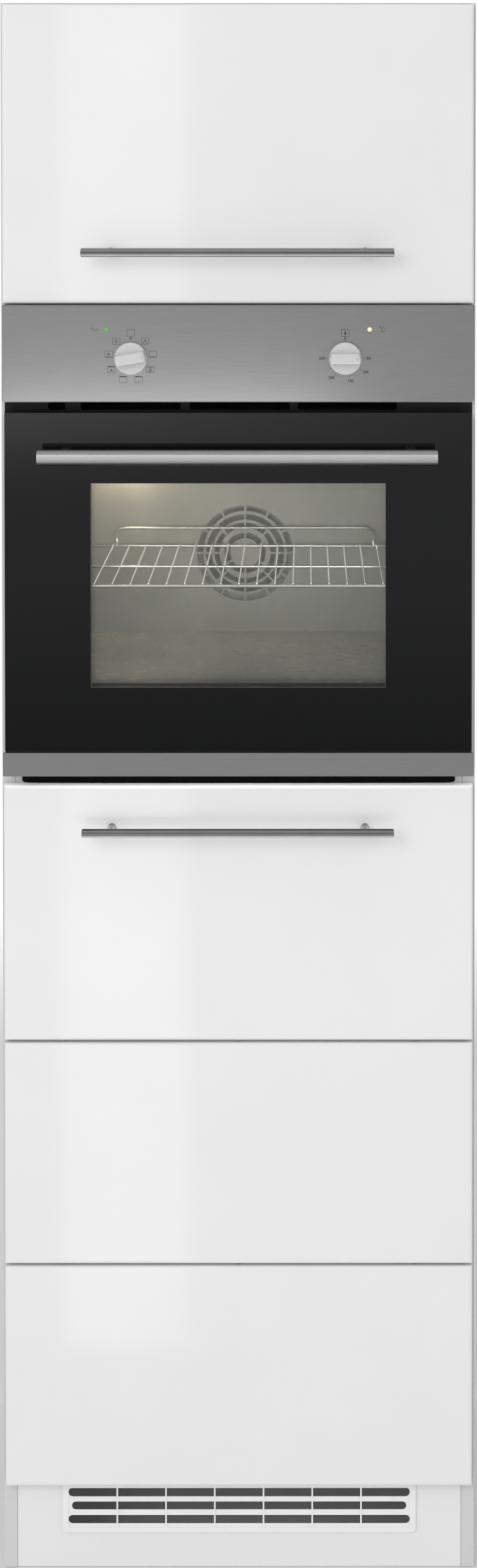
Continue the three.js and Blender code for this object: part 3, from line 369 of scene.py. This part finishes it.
LACQUER = make_lacquer()
BOARD = make_melamine("white_melamine", 0.70)
BOARD_BACK = make_melamine("grey_board_back", 0.62)
GRILLE_WITH_PAINTED_SHADE = make_grille_with_painted_shade()
BLACK_PLASTIC = make_plastic("black_moulded_plastic", grey(0.018), 0.45, 0.6)
SEAL = make_plastic("seal_rubber", grey(0.012), 0.6, 0.8)
PRINT = make_plastic("dark_print", grey(0.018), 0.35, 0.5)
MATT_BLACK = make_plastic("matt_black_coating", grey(0.003), 0.6, 0.7, Specular_IOR_Level=0.12)
POINTER = make_plastic("pointer_ring", grey(0.4), 0.3, 0.4)
BRUSHED = make_brushed("brushed_steel", grey(0.43, 0.002), 0.28, 0.36, 0.008)
BRUSHED_STRIP = make_brushed("brushed_strip", grey(0.34, 0.002), 0.28, 0.36, 0.008)
# The oven handle's lines are painted highlight and shade.
BRUSHED_BAR_PAINTED_REFLECTION = make_brushed_bar_painted_reflection(edges_of("oven_handle")[2])
# The round bars' lines are painted reflection.
CHROME_PAINTED_REFLECTION = make_bar_chrome_painted_reflection()
WIRE = make_metal("chromed_wire", grey(0.82), 0.14, 0.2, scale=200, depth=0.01)
ZINC = make_metal("zinc_plated", grey(0.55, -0.01), 0.3, 0.45, scale=90)
BLACK_METAL = make_metal(
    "black_coated_metal", grey(0.008), 0.4, 0.5, scale=120, metallic=0.0, Specular_IOR_Level=0.35
)
SATIN = make_metal("satin_silver", grey(0.8), 0.3, 0.38, scale=700, depth=0.008, metallic=0.35)
ELEMENT = make_metal("element_sheath", (0.12, 0.10, 0.085), 0.4, 0.55, scale=300)
ENAMEL = make_enamel()
DOOR_GLASS = make_door_glass()
INNER_GLASS = make_inner_glass()
GREEN_LENS = make_lens("green_lens", (0.10, 0.50, 0.09), 0.35)
AMBER_LENS = make_lens("amber_lens", (1.0, 0.56, 0.36), 1.0)
LAMP_LENS = make_lens("lamp_lens_glass", (1.0, 0.83, 0.55), 2.0)

# ------------------------------------------------------------------ CAD nodes that stay

SHARP_ANGLE = 50  # degrees, from which an edge stays sharp
SOFTENED_ANGLE = 55  # degrees, from which an edge is softened
WELD_DISTANCE = 0.02


def smooth_group():
    """A node group that shades a faceted surface smooth except at its sharp edges."""
    group = bpy.data.node_groups.new("smooth_shading", "GeometryNodeTree")
    group.interface.new_socket("Geometry", in_out="INPUT", socket_type="NodeSocketGeometry")
    group.interface.new_socket("Geometry", in_out="OUTPUT", socket_type="NodeSocketGeometry")
    take = group.nodes.new("NodeGroupInput")
    give = group.nodes.new("NodeGroupOutput")
    weld = group.nodes.new("GeometryNodeMergeByDistance")
    weld.inputs["Distance"].default_value = WELD_DISTANCE * MM
    angle = group.nodes.new("GeometryNodeInputMeshEdgeAngle")
    blunt = group.nodes.new("FunctionNodeCompare")
    blunt.data_type = "FLOAT"
    blunt.operation = "LESS_THAN"
    blunt.inputs[1].default_value = math.radians(SHARP_ANGLE)
    faces = group.nodes.new("GeometryNodeSetShadeSmooth")
    edges = group.nodes.new("GeometryNodeSetShadeSmooth")
    edges.domain = "EDGE"
    link = group.links.new
    link(take.outputs[0], weld.inputs["Geometry"])
    link(weld.outputs[0], faces.inputs["Geometry"])
    link(faces.outputs[0], edges.inputs["Geometry"])
    link(angle.outputs["Unsigned Angle"], blunt.inputs[0])
    link(blunt.outputs[0], edges.inputs["Shade Smooth"])
    link(edges.outputs[0], give.inputs[0])
    return group


SMOOTH = smooth_group()


def smooth(obj):
    made = obj.modifiers.new("smooth_shading", "NODES")
    made.node_group = SMOOTH
    flat = obj.modifiers.new("flat_faces_stay_flat", "WEIGHTED_NORMAL")
    flat.keep_sharp = True
    flat.weight = 95


def soften(obj, radius):
    made = obj.modifiers.new("softened_edges", "BEVEL")
    made.width = radius * MM
    made.segments = 2
    made.limit_method = "ANGLE"
    made.angle_limit = math.radians(SOFTENED_ANGLE)


def finish(look, *names, softness=0.0, curved=False):
    """Gives nodes their look. Only curved nodes are shaded smooth, so that flat panes stay true."""
    for name in names:
        obj = nodes[name]
        obj.data.materials.clear()
        obj.data.materials.append(look.material)
        if softness:
            soften(obj, softness)
        if curved:
            smooth(obj)


finish(BOARD, "side_panel_left", "side_panel_right", "bottom_panel", "oven_shelf", softness=0.5)
finish(BOARD, "upper_shelf", "top_panel", softness=0.5)
finish(BOARD_BACK, "back_panel", "rear_rail_oven", "rear_rail_top", softness=0.3)
finish(LACQUER, *GLOSSY_FRONTS)
finish(GRILLE_WITH_PAINTED_SHADE, "vent_grille")
finish(ZINC, *[name for name in nodes if "hinge" in name], "fan_wheel", curved=True)
finish(ZINC, *[name for name in nodes if "tie_bar" in name], softness=0.3)
finish(ZINC, "oven_casing")
finish(ENAMEL, "oven_cavity", "fan_cover", curved=True)
finish(BLACK_METAL, "oven_front_frame", "door_frame")
finish(BLACK_METAL, "fan_motor", curved=True)
finish(MATT_BLACK, "heat_deflector")
finish(SEAL, "door_seal", softness=0.6, curved=True)
finish(BRUSHED, "control_panel")
finish(BRUSHED_STRIP, "bottom_strip")
finish(BLACK_PLASTIC, "function_switch", "thermostat", "mains_gland", softness=0.4, curved=True)
finish(LAMP_LENS, "lamp_lens", curved=True)
finish(GREEN_LENS, "power_light", curved=True)
finish(AMBER_LENS, "heat_light", curved=True)
finish(DOOR_GLASS, "outer_glass")
finish(INNER_GLASS, "inner_glass")
finish(ELEMENT, "grill_element", curved=True)
finish(WIRE, *OVEN_WIRES, curved=True)

# ------------------------------------------------------------------ pieces that replace nodes


def piece(name, mesh, look, body, slot, *stands_for):
    bmesh.ops.recalc_face_normals(mesh, faces=mesh.faces)
    obj = add_mesh(name, mesh, look)
    smooth(obj)
    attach(obj, body)
    if stands_for:
        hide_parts(*stands_for)
    return obj


def add_rings(mesh, rings, closed_ends=True):
    """Skins rings of points, each a list of the same length."""
    made = [[mesh.verts.new(p) for p in ring] for ring in rings]
    count = len(rings[0])
    for before, after in zip(made, made[1:]):
        for i in range(count):
            j = (i + 1) % count
            mesh.faces.new((before[i], before[j], after[j], after[i]))
    if closed_ends:
        mesh.faces.new(list(reversed(made[0])))
        mesh.faces.new(made[-1])


def circle(r, count=48):
    return [
        (r * math.cos(2 * math.pi * i / count), r * math.sin(2 * math.pi * i / count))
        for i in range(count)
    ]


def rounding(r, steps=4):
    """Offsets (inwards, along) of a quarter round edge, from the end face to the side."""
    return [
        (r * (1 - math.sin(math.pi / 2 * i / steps)), r * (1 - math.cos(math.pi / 2 * i / steps)))
        for i in range(steps + 1)
    ]


def rounded_section(width, height, r, steps=6):
    points = []
    for cx, cy, turn in (
        (width / 2 - r, height / 2 - r, 0),
        (-width / 2 + r, height / 2 - r, 1),
        (-width / 2 + r, -height / 2 + r, 2),
        (width / 2 - r, -height / 2 + r, 3),
    ):
        for i in range(steps + 1):
            angle = math.pi / 2 * (turn + i / steps)
            points.append((cx + r * math.cos(angle), cy + r * math.sin(angle)))
    return points


def add_bar(mesh, section, start, end, soft, place):
    """A bar of a section of (u, v) points scaled in at its softened ends; place(u, v, s)."""
    size = max(math.hypot(u, v) for u, v in section)
    stations = [(start + along, inwards) for inwards, along in rounding(soft)]
    stations += [(end - along, inwards) for inwards, along in reversed(rounding(soft))]
    rings = []
    for s, inwards in stations:
        scale = (size - inwards) / size
        rings.append([place(u * scale, v * scale, s) for u, v in section])
    add_rings(mesh, rings)


BAR_RADIUS = 5.75
BAR_SOFTNESS = 1.5
BAR_POST_INSET = 36
BAR_POST_RADIUS = 4.5
BAR_POST_GAP = 0.3  # between a front and the foot of a post
COLLAR = [(0.9, 0), (0.7, 0.5), (0.1, 1.6), (0, 2.6)]  # (past the post's side, from its foot)


def bar_handle(node, front):
    """A round bar on two posts, each with a small collar where it meets its front."""
    xs, fs, zs = edges_of(node)
    z = middle(zs)
    reach = fs[1] - BAR_RADIUS
    foot = edges_of(front)[1][1] + BAR_POST_GAP
    post = [(BAR_POST_RADIUS + past, foot + along) for past, along in COLLAR]
    post.append((BAR_POST_RADIUS, reach))
    mesh = bmesh.new()
    bar = circle(BAR_RADIUS)
    add_bar(mesh, bar, *xs, BAR_SOFTNESS, lambda u, v, s: at(s, reach + u, z + v))
    for x in (xs[0] + BAR_POST_INSET, xs[1] - BAR_POST_INSET):
        add_rings(mesh, [[at(x + u, f, z + v) for u, v in circle(r, 32)] for r, f in post])
    return mesh


def add_bar_handle(name, node, front, body):
    piece(name, bar_handle(node, front), CHROME_PAINTED_REFLECTION, body, "chromed_bar", node)


add_bar_handle("flap_bar_handle", "flap_handle", "flap_front", "flap")
add_bar_handle("lower_bar_handle", "lower_handle", "lower_front_top", "lower_door")

OVEN_BAR_DEPTH = 13
OVEN_BAR_CORNER = 6
OVEN_BAR_SOFTNESS = 1.2
OVEN_POST_INSET = 32
OVEN_POST_WIDTH = 14
OVEN_POST_CORNER = 3


def oven_handle():
    """A flat bar with rounded edges on two square posts."""
    xs, fs, zs = edges_of("oven_handle")
    reach = fs[1] - OVEN_BAR_DEPTH / 2
    z = middle(zs)
    mesh = bmesh.new()
    bar = rounded_section(OVEN_BAR_DEPTH, zs[1] - zs[0], OVEN_BAR_CORNER)
    add_bar(mesh, bar, *xs, OVEN_BAR_SOFTNESS, lambda u, v, s: at(s, reach + u, z + v))
    post = rounded_section(OVEN_POST_WIDTH, OVEN_POST_WIDTH, OVEN_POST_CORNER)
    for x in (xs[0] + OVEN_POST_INSET, xs[1] - OVEN_POST_INSET):
        add_rings(mesh, [[at(x + u, f, z + v) for u, v in post] for f in (fs[0], reach)])
    return mesh


piece(
    "oven_bar_handle", oven_handle(), BRUSHED_BAR_PAINTED_REFLECTION, "oven_door", "brushed_steel", "oven_handle"
)

KNOB_X = middle(edges_of("thermostat_knob")[0])
CONTROLS_Z = middle(edges_of("thermostat_knob")[2])
FASCIA_FACE = edges_of("control_panel")[1][1]
FUNCTION_TILT = 80  # degrees clockwise from upright
THERMOSTAT_TILT = 90
KNOB_RADIUS = 20.5
KNOB_GAP = 0.6  # between the fascia and a knob
KNOB_FOOT = [(0.6, 0), (0.1, 0.3), (0, 0.9)]  # (inside the knob's side, from its back)
KNOB_EASE = 1.4
SKIRT_FACE = 7  # in front of the fascia
KNOB_FACE = 20
GRIP_HALF = 7.5
GRIP_RADIUS = KNOB_RADIUS - 0.9
GRIP_SUNK = 1.5  # the foot of the grip inside the skirt
GRIP_UPRIGHT = 4  # the straight part of its sides, in front of the skirt
GRIP_SHOULDER = 3.2  # from its top to where the sides have drawn in by the draft
GRIP_DRAFT = 0.25
GRIP_EASE = 2.4
GRIP_END_EASE = 1.6  # the ends draw in this many times as much as the sides
POINTER_PLACE = 14.8
POINTER_RADII = (1.35, 1.7)
POINTER_PROUD = 0.05
POINTER_SUNK = 0.3


def on_knob(x, tilt):
    """A function that places a knob's own (u, v) at a distance f, turned clockwise by tilt."""
    turn = math.radians(tilt)

    def place(u, v, f):
        return at(
            x + u * math.cos(turn) + v * math.sin(turn),
            f,
            CONTROLS_Z - u * math.sin(turn) + v * math.cos(turn),
        )

    return place


def grip_outline(steps=10):
    """A bar across the knob whose ends follow its round side."""
    points = []
    for sign in (1, -1):
        for i in range(-steps, steps + 1):
            angle = math.pi / 2 + i / steps * math.asin(GRIP_HALF / GRIP_RADIUS)
            points.append(
                (GRIP_RADIUS * math.cos(angle) * sign, GRIP_RADIUS * math.sin(angle) * sign)
            )
    return points


def knob_mesh(place):
    """A low round skirt under a raised grip bar."""
    mesh = bmesh.new()
    back, face, top = FASCIA_FACE + KNOB_GAP, FASCIA_FACE + SKIRT_FACE, FASCIA_FACE + KNOB_FACE
    profile = [(KNOB_RADIUS - inwards, back + along) for inwards, along in KNOB_FOOT]
    for inwards, along in reversed(rounding(KNOB_EASE)):
        profile.append((KNOB_RADIUS - inwards, face - along))
    add_rings(mesh, [[place(u, v, f) for u, v in circle(r, 72)] for r, f in profile])
    levels = [(0, face - GRIP_SUNK), (0, face + GRIP_UPRIGHT), (GRIP_DRAFT, top - GRIP_SHOULDER)]
    for inwards, along in reversed(rounding(GRIP_EASE, 5)):
        levels.append((GRIP_DRAFT + inwards, top - along))
    rings = []
    for inwards, f in levels:
        across = (GRIP_HALF - inwards) / GRIP_HALF
        lengthways = (GRIP_RADIUS - inwards * GRIP_END_EASE) / GRIP_RADIUS
        rings.append([place(u * across, v * lengthways, f) for u, v in grip_outline()])
    add_rings(mesh, rings)
    return mesh


def pointer_mesh(place, steps=28):
    """A thin ring on the grip's pointing end."""
    top = FASCIA_FACE + KNOB_FACE
    inner, outer = POINTER_RADII
    low, high = top - POINTER_SUNK, top + POINTER_PROUD
    section = [(inner, low), (inner, high), (outer, high), (outer, low)]
    rings = []
    for i in range(steps):
        angle = 2 * math.pi * i / steps
        u, v = math.cos(angle), math.sin(angle)
        rings.append([place(r * u, POINTER_PLACE + r * v, f) for r, f in section])
    mesh = bmesh.new()
    add_rings(mesh, rings + rings[:1], closed_ends=False)
    bmesh.ops.remove_doubles(mesh, verts=mesh.verts, dist=1e-7)
    return mesh


def knob(name, x, tilt, body, node):
    place = on_knob(x, tilt)
    piece(name, knob_mesh(place), SATIN, body, "knob", node)
    piece(name + "_pointer", pointer_mesh(place), POINTER, body, "knob")


knob("function_dial", -KNOB_X, FUNCTION_TILT, "function_control", "function_knob")
knob("thermostat_dial", KNOB_X, THERMOSTAT_TILT, "thermostat_control", "thermostat_knob")

# ------------------------------------------------------------------ prints on the fascia

PRINT_PROUD = 0.06
PRINT_SUNK = 0.1
FIGURE_SIZE = 5.0
FIGURE_PROUD = 0.02
FIGURE_DEPTH = 0.05  # in front of and behind a figure's middle
FIGURE_WEIGHT = 0.09  # added all round its strokes
PICTURE_RING = 28.4  # centres of the pictures from the function knob's centre
PICTURE_BOX = (9.5, 8.2)
FUNCTION_BOX_LIFT = 32.3  # centre of the box over a knob, from the knob's centre
FUNCTION_BOX = (9.5, 8.6)
FUNCTION_ZERO_LIFT = 25.2
THERMOSTAT_BOX_LIFT = 32.1
THERMOSTAT_BOX = (9.6, 8.6)
THERMOSTAT_ZERO_LIFT = 25
DOT_RING = 22.9
DOT_RADIUS = 0.36
TICK_ENDS = (22.4, 25)
WAVE_X = -181.3  # the signs beside the two lights
DEGREE_X = 181.5
SIGN_LIFT = 36.4


class Print:
    """Flat printed strokes on the fascia, as one mesh of thin raised ribbons."""

    def __init__(self, x, z):
        self.mesh = bmesh.new()
        self.x = x
        self.z = z

    def patch(self, points):
        level = FASCIA_FACE + PRINT_PROUD
        root = FASCIA_FACE - PRINT_SUNK
        tops = [at(self.x + u, level, self.z + v) for u, v in points]
        feet = [at(self.x + u, root, self.z + v) for u, v in points]
        add_rings(self.mesh, [feet, tops])

    def line(self, points, width=0.5):
        for (u0, v0), (u1, v1) in zip(points, points[1:]):
            length = math.hypot(u1 - u0, v1 - v0)
            du, dv = (u1 - u0) / length * width / 2, (v1 - v0) / length * width / 2
            self.patch(
                [
                    (u0 - du - dv, v0 - dv + du),
                    (u0 - du + dv, v0 - dv - du),
                    (u1 + du + dv, v1 + dv - du),
                    (u1 + du - dv, v1 + dv + du),
                ]
            )

    def box(self, u, v, width, height, stroke):
        x0, x1, y0, y1 = u - width / 2, u + width / 2, v - height / 2, v + height / 2
        self.line([(x0, y0), (x1, y0), (x1, y1), (x0, y1), (x0, y0)], stroke)

    def disc(self, u, v, r):
        self.patch([(u + a, v + b) for a, b in circle(r, 12)])

    def ring(self, u, v, r, width, start=0, end=360):
        steps = 14
        angles = [math.radians(start + (end - start) * i / steps) for i in range(steps + 1)]
        self.line([(u + r * math.cos(a), v + r * math.sin(a)) for a in angles], width)

    def done(self, name):
        return piece(name, self.mesh, PRINT, "cabinet", "black_plastic")


def words(name, text, x, z):
    """Plain figures, as a thin raised mesh centred on a place on the fascia."""
    curve = bpy.data.curves.new(name, "FONT")
    curve.body = text
    curve.size = FIGURE_SIZE * MM
    curve.align_x = "CENTER"
    curve.align_y = "CENTER"
    curve.extrude = FIGURE_DEPTH * MM
    curve.offset = FIGURE_WEIGHT * MM
    curve.resolution_u = 3
    source = add_object(name + "_curve", curve)
    bpy.context.view_layer.update()
    shape = bpy.data.meshes.new_from_object(
        source.evaluated_get(bpy.context.evaluated_depsgraph_get())
    )
    bpy.data.objects.remove(source)
    place = Matrix.Translation(at(x, FASCIA_FACE + FIGURE_PROUD, z))
    shape.transform(place @ Matrix.Rotation(math.pi / 2, 4, "X"))
    mesh = bmesh.new()
    mesh.from_mesh(shape)
    bpy.data.meshes.remove(shape)
    return piece(name, mesh, PRINT, "cabinet", "black_plastic")


def around(angle, r):
    """A place on a ring, by degrees clockwise from the top."""
    return r * math.sin(math.radians(angle)), r * math.cos(math.radians(angle))


def picture_heat(p, u, v, points):
    """A row of small solid triangles that point down, under the top of a box."""
    pitch = 7.6 / points
    for i in range(points):
        centre = u + (i - (points - 1) / 2) * pitch
        p.patch([(centre - 0.75, v + 3.6), (centre, v + 2.2), (centre + 0.75, v + 3.6)])
    p.line([(u - 4, v + 3.7), (u + 4, v + 3.7)], 0.3)


def picture_fan(p, u, v, r=2.0):
    for k in range(3):
        a = math.radians(90 + 120 * k)
        tip = (u + r * math.cos(a), v + r * math.sin(a))
        side = (u + r * 0.8 * math.cos(a + 0.8), v + r * 0.8 * math.sin(a + 0.8))
        p.patch([(u, v), tip, side])
        p.line([(u, v), tip], 0.35)


def picture_bars(p, u, v, *rows):
    for row in rows:
        p.line([(u - 3.1, v + row), (u + 3.1, v + row)], 0.5)


def picture_thaw(p, u, v):
    picture_fan(p, u, v + 0.8, 1.7)
    for du in (-2.2, 2.2):
        p.disc(u + du, v - 2.2, 0.7)


def picture_lamp(p, u, v):
    p.ring(u, v + 0.7, 1.6, 0.4)
    p.line([(u - 0.9, v - 1.6), (u + 0.9, v - 1.6)], 0.5)
    p.line([(u - 0.6, v - 2.4), (u + 0.6, v - 2.4)], 0.4)


PICTURES = {
    40: picture_thaw,
    80: lambda p, u, v: picture_bars(p, u, v, -2.6),
    120: lambda p, u, v: (picture_bars(p, u, v, 2.7, -2.7), picture_fan(p, u, v)),
    160: lambda p, u, v: picture_heat(p, u, v, 3),
    200: lambda p, u, v: picture_heat(p, u, v, 4),
    240: lambda p, u, v: (picture_heat(p, u, v, 4), picture_fan(p, u, v - 1.2)),
    280: lambda p, u, v: (picture_bars(p, u, v, -2.7), picture_fan(p, u, v + 0.3)),
    320: picture_lamp,
}


def function_prints():
    p = Print(-KNOB_X, CONTROLS_Z)
    for angle, draw in PICTURES.items():
        u, v = around(angle, PICTURE_RING)
        p.box(u, v, *PICTURE_BOX, 0.35)
        draw(p, u, v)
    p.box(0, FUNCTION_BOX_LIFT, *FUNCTION_BOX, 0.35)
    p.done("function_pictograms")
    words("function_zero", "0", -KNOB_X, CONTROLS_Z + FUNCTION_ZERO_LIFT)


def wave_print():
    p = Print(WAVE_X, CONTROLS_Z + SIGN_LIFT)
    bends = [(-4.4 + 8.8 * i / 12, -1.9 * math.sin(2 * math.pi * i / 12 + 3.6)) for i in range(13)]
    p.line(bends, 0.4)
    p.done("mains_wave")


def thermostat_prints():
    p = Print(KNOB_X, CONTROLS_Z)
    for angle in (102, 113, 136, 147, 158, 180, 190, 201, 223, 235, 247, 258):
        p.disc(*around(angle, DOT_RING), DOT_RADIUS)
    for angle in (90, 125, 168, 212, 270):
        p.line([around(angle, r) for r in TICK_ENDS], 0.4)
    p.line([(0, 21.4), (0, 23)], 0.35)
    p.box(0, THERMOSTAT_BOX_LIFT, *THERMOSTAT_BOX, 0.4)
    p.disc(0, 30.9, 1.2)
    p.line([(0, 31), (0, 34.6)], 1.0)
    p.done("thermostat_ticks")
    figures = {"50": (29.3, 0), "100": (25.4, -17.4), "150": (6.7, -28.6), "200": (-17.2, -24.4)}
    figures["250"] = (-29.5, 0)
    for text, (u, v) in figures.items():
        words("temperature_" + text, text, KNOB_X + u, CONTROLS_Z + v)
    words("thermostat_zero", "0", KNOB_X, CONTROLS_Z + THERMOSTAT_ZERO_LIFT)


def degree_print():
    p = Print(DEGREE_X, CONTROLS_Z + SIGN_LIFT)
    p.ring(-2.9, 3.3, 0.9, 0.35)
    p.ring(1.2, -0.4, 2.5, 0.45, 45, 315)
    p.done("degree_sign")


function_prints()
wave_print()
thermostat_prints()
degree_print()

# ------------------------------------------------------------------ light


def area_light(
    name, place, target, size, power, color=(1, 1, 1), hidden_from=(), only=(), shadow=True
):
    """A soft light that the camera can't see, kept for some nodes alone if they are named."""
    data = bpy.data.lights.new(name, "AREA")
    data.shape = "RECTANGLE"
    data.size, data.size_y = size
    data.energy = power
    data.color = color
    data.use_shadow = shadow
    obj = add_object(name, data)
    obj.location = place
    obj.rotation_euler = (Vector(target) - Vector(place)).to_track_quat("-Z", "Y").to_euler()
    for ray in ("camera", *hidden_from):
        setattr(obj, "visible_" + ray, False)
    if only:
        receivers = bpy.data.collections.new(name + "_receivers")
        for node in only:
            receivers.objects.link(nodes[node])
        obj.light_linking.receiver_collection = receivers
    return obj


def room_lights():
    """The key light, a low fill, and two lights that only show as reflections."""
    area_light(
        "key_softbox", (-2.0, -5.0, 3.0), (0, 0, 1.0), (2.6, 2.6), 72, hidden_from=["glossy"]
    )
    area_light(
        "low_fill",
        (0.3, -2.4, 0.1),
        (0, 0, 0.1),
        (1.6, 0.5),
        4.6,
        hidden_from=["glossy"],
        only=LOWER_FRONTS + ["plinth_panel", "vent_grille"],
    )
    area_light(
        "strip_softbox",
        (-0.184, -0.95, 1.21),
        (-0.184, 0, 1.21),
        (0.186, 2.36),
        2.7,
        hidden_from=["diffuse"],
        only=GLOSSY_FRONTS,
    )
    area_light(
        "fascia_sheen",
        (-0.12, -0.62, 1.41),
        (-0.12, -0.26, 1.47),
        (0.5, 0.08),
        0.25,
        hidden_from=["diffuse"],
        only=["control_panel"],
        shadow=False,
    )


def joint_light():
    """Light from above on the lower door's top edge, which shows in the gap under the oven."""
    door_top = edges_of("lower_front_top")[2][1]
    area_light(
        "joint_light",
        at(0, 14, door_top + 190),
        at(0, 14, door_top),
        (0.6, 0.02),
        0.7,
        hidden_from=["glossy"],
        only=["lower_front_top"],
        shadow=False,
    )


def oven_lights():
    """The oven's lamp, a faint glow in its cavity, and the bright lines on its wires."""
    lamp = bpy.data.lights.new("oven_lamp", "POINT")
    lamp.energy = 2.9
    lamp.color = (1.0, 0.79, 0.63)
    lamp.shadow_soft_size = 0.012
    add_object("oven_lamp", lamp).location = at(-160, -415, 1400)
    glow = area_light(
        "oven_glow",
        at(0, -8, 1290),
        at(0, -300, 1290),
        (0.40, 0.26),
        1.9,
        color=(1, 0.98, 0.96),
        hidden_from=["glossy", "transmission"],
    )
    glow.data.spread = math.radians(100)
    for name, place, target, size, power in (
        ("wire_glint", at(0, -9, 1340), at(0, -300, 1300), (0.36, 0.1), 1.2),
        ("rail_glint", at(0, -9, 1268), at(0, -15, 1266), (0.42, 0.06), 0.07),
        ("wire_back_light", at(0, -424, 1330), at(0, -300, 1326), (0.38, 0.2), 0.17),
    ):
        area_light(
            name,
            place,
            target,
            size,
            power,
            hidden_from=["diffuse", "transmission"],
            only=OVEN_WIRES + ["grill_element"],
        )


room_lights()
joint_light()
oven_lights()

# ------------------------------------------------------------------ floor and room

FLOOR_RADIUS = 3.4
FLOOR_FADE = (2.2, 3.3)
FLOOR_DROP = 0.0005  # below the unit's feet


def floor_look():
    """A pale floor that fades out towards its rim."""
    look = Look("pale_floor", grey(0.82), 0.8)
    distance = look.node("ShaderNodeVectorMath", operation="LENGTH")
    look.feed(look.place(), distance.inputs[0])
    fade = look.span(distance.outputs["Value"], 0, 1, *FLOOR_FADE)
    clear = look.node("ShaderNodeBsdfTransparent")
    mixed = look.node("ShaderNodeMixShader")
    for source, target in zip((fade, look.shader.outputs[0], clear.outputs[0]), mixed.inputs):
        look.feed(source, target)
    look.feed(mixed.outputs[0], look.tree.nodes["Material Output"].inputs["Surface"])
    look.rough(look.noise(20), 0.75, 0.85)
    return look


def add_floor():
    mesh = bmesh.new()
    bmesh.ops.create_circle(mesh, cap_ends=True, segments=96, radius=FLOOR_RADIUS)
    floor = add_mesh("studio_floor", mesh, floor_look())
    floor.location.z = -FLOOR_DROP


add_floor()

# The room that the glossy faces show, as (height of the direction, brightness). Only the middle
# part differs between the left and the right side of the room.
ROOM_BELOW = [(-1.0, 0.95), (-0.205, 0.95), (-0.192, 0.16), (-0.169, 0.22), (-0.139, 0.35)]
ROOM_LEFT = [(-0.107, 0.42), (-0.097, 0.5), (-0.089, 0.8), (-0.082, 1.2), (-0.05, 1.0), (0.05, 1.0)]
ROOM_RIGHT = [(-0.107, 0.38), (-0.097, 0.4), (-0.089, 0.41), (-0.082, 0.45)]
ROOM_RIGHT += [(-0.05, 0.6), (0.05, 0.6)]
ROOM_ABOVE = [(0.06, 0.05), (0.17, 0.06), (0.21, 0.15), (0.42, 0.2), (0.55, 0.35), (0.75, 0.4)]
ROOM_ABOVE.append((1.0, 0.45))
LEFT_TO_RIGHT = (-0.1, 0.055)  # sideways part of the direction where left turns into right
SOFT_LIGHT = grey(0.78)
BEHIND = (0, 0.25)  # backward part of the direction, from where the low light turns dark
LOW_BEHIND = (0.32, 0.22)  # and the heights between which it does
DARK_BEHIND = grey(0.02)


def light_the_room():
    """Soft light for the object, its own picture for reflections, and white for the camera."""
    world = bpy.data.worlds.new("studio")
    bpy.context.scene.world = world
    world.use_nodes = True
    room = Nodes(world.node_tree)
    coords = room.node("ShaderNodeTexCoord")
    path = room.node("ShaderNodeLightPath")
    sideways, backwards, upwards = room.axes(coords.outputs["Generated"])
    behind = room.span(backwards, 0, 1, *BEHIND)
    low = room.span(upwards, 0, 1, *LOW_BEHIND)
    soft = room.blend(room.calculate("MULTIPLY", behind, low), SOFT_LIGHT, DARK_BEHIND)
    left = room.ramp(upwards, ROOM_BELOW + ROOM_LEFT + ROOM_ABOVE)
    right = room.ramp(upwards, ROOM_BELOW + ROOM_RIGHT + ROOM_ABOVE)
    mirrored = room.blend(room.span(sideways, 0, 1, *LEFT_TO_RIGHT), left, right)
    unseen = room.blend(path.outputs["Is Glossy Ray"], soft, mirrored)
    seen = room.blend(path.outputs["Is Camera Ray"], unseen, (1, 1, 1))
    room.feed(seen, world.node_tree.nodes["Background"].inputs["Color"])


light_the_room()

# ------------------------------------------------------------------ camera

CAMERA_PLACE = (0.0858, -4.2445, 1.8017)
CAMERA_DIP = 0.02868  # radians below level
CAMERA_TURN = -0.00123
CAMERA_LENS = 72.684
CAMERA_SHIFT = (-0.0456, -0.34)

camera_data = bpy.data.cameras.new("photo_camera")
camera_data.lens = CAMERA_LENS
camera_data.shift_x, camera_data.shift_y = CAMERA_SHIFT
camera = add_object("photo_camera", camera_data)
camera.location = CAMERA_PLACE
camera.rotation_euler = (math.pi / 2 - CAMERA_DIP, 0, CAMERA_TURN)
bpy.context.scene.camera = camera
bpy.context.scene.view_settings.view_transform = "Standard"
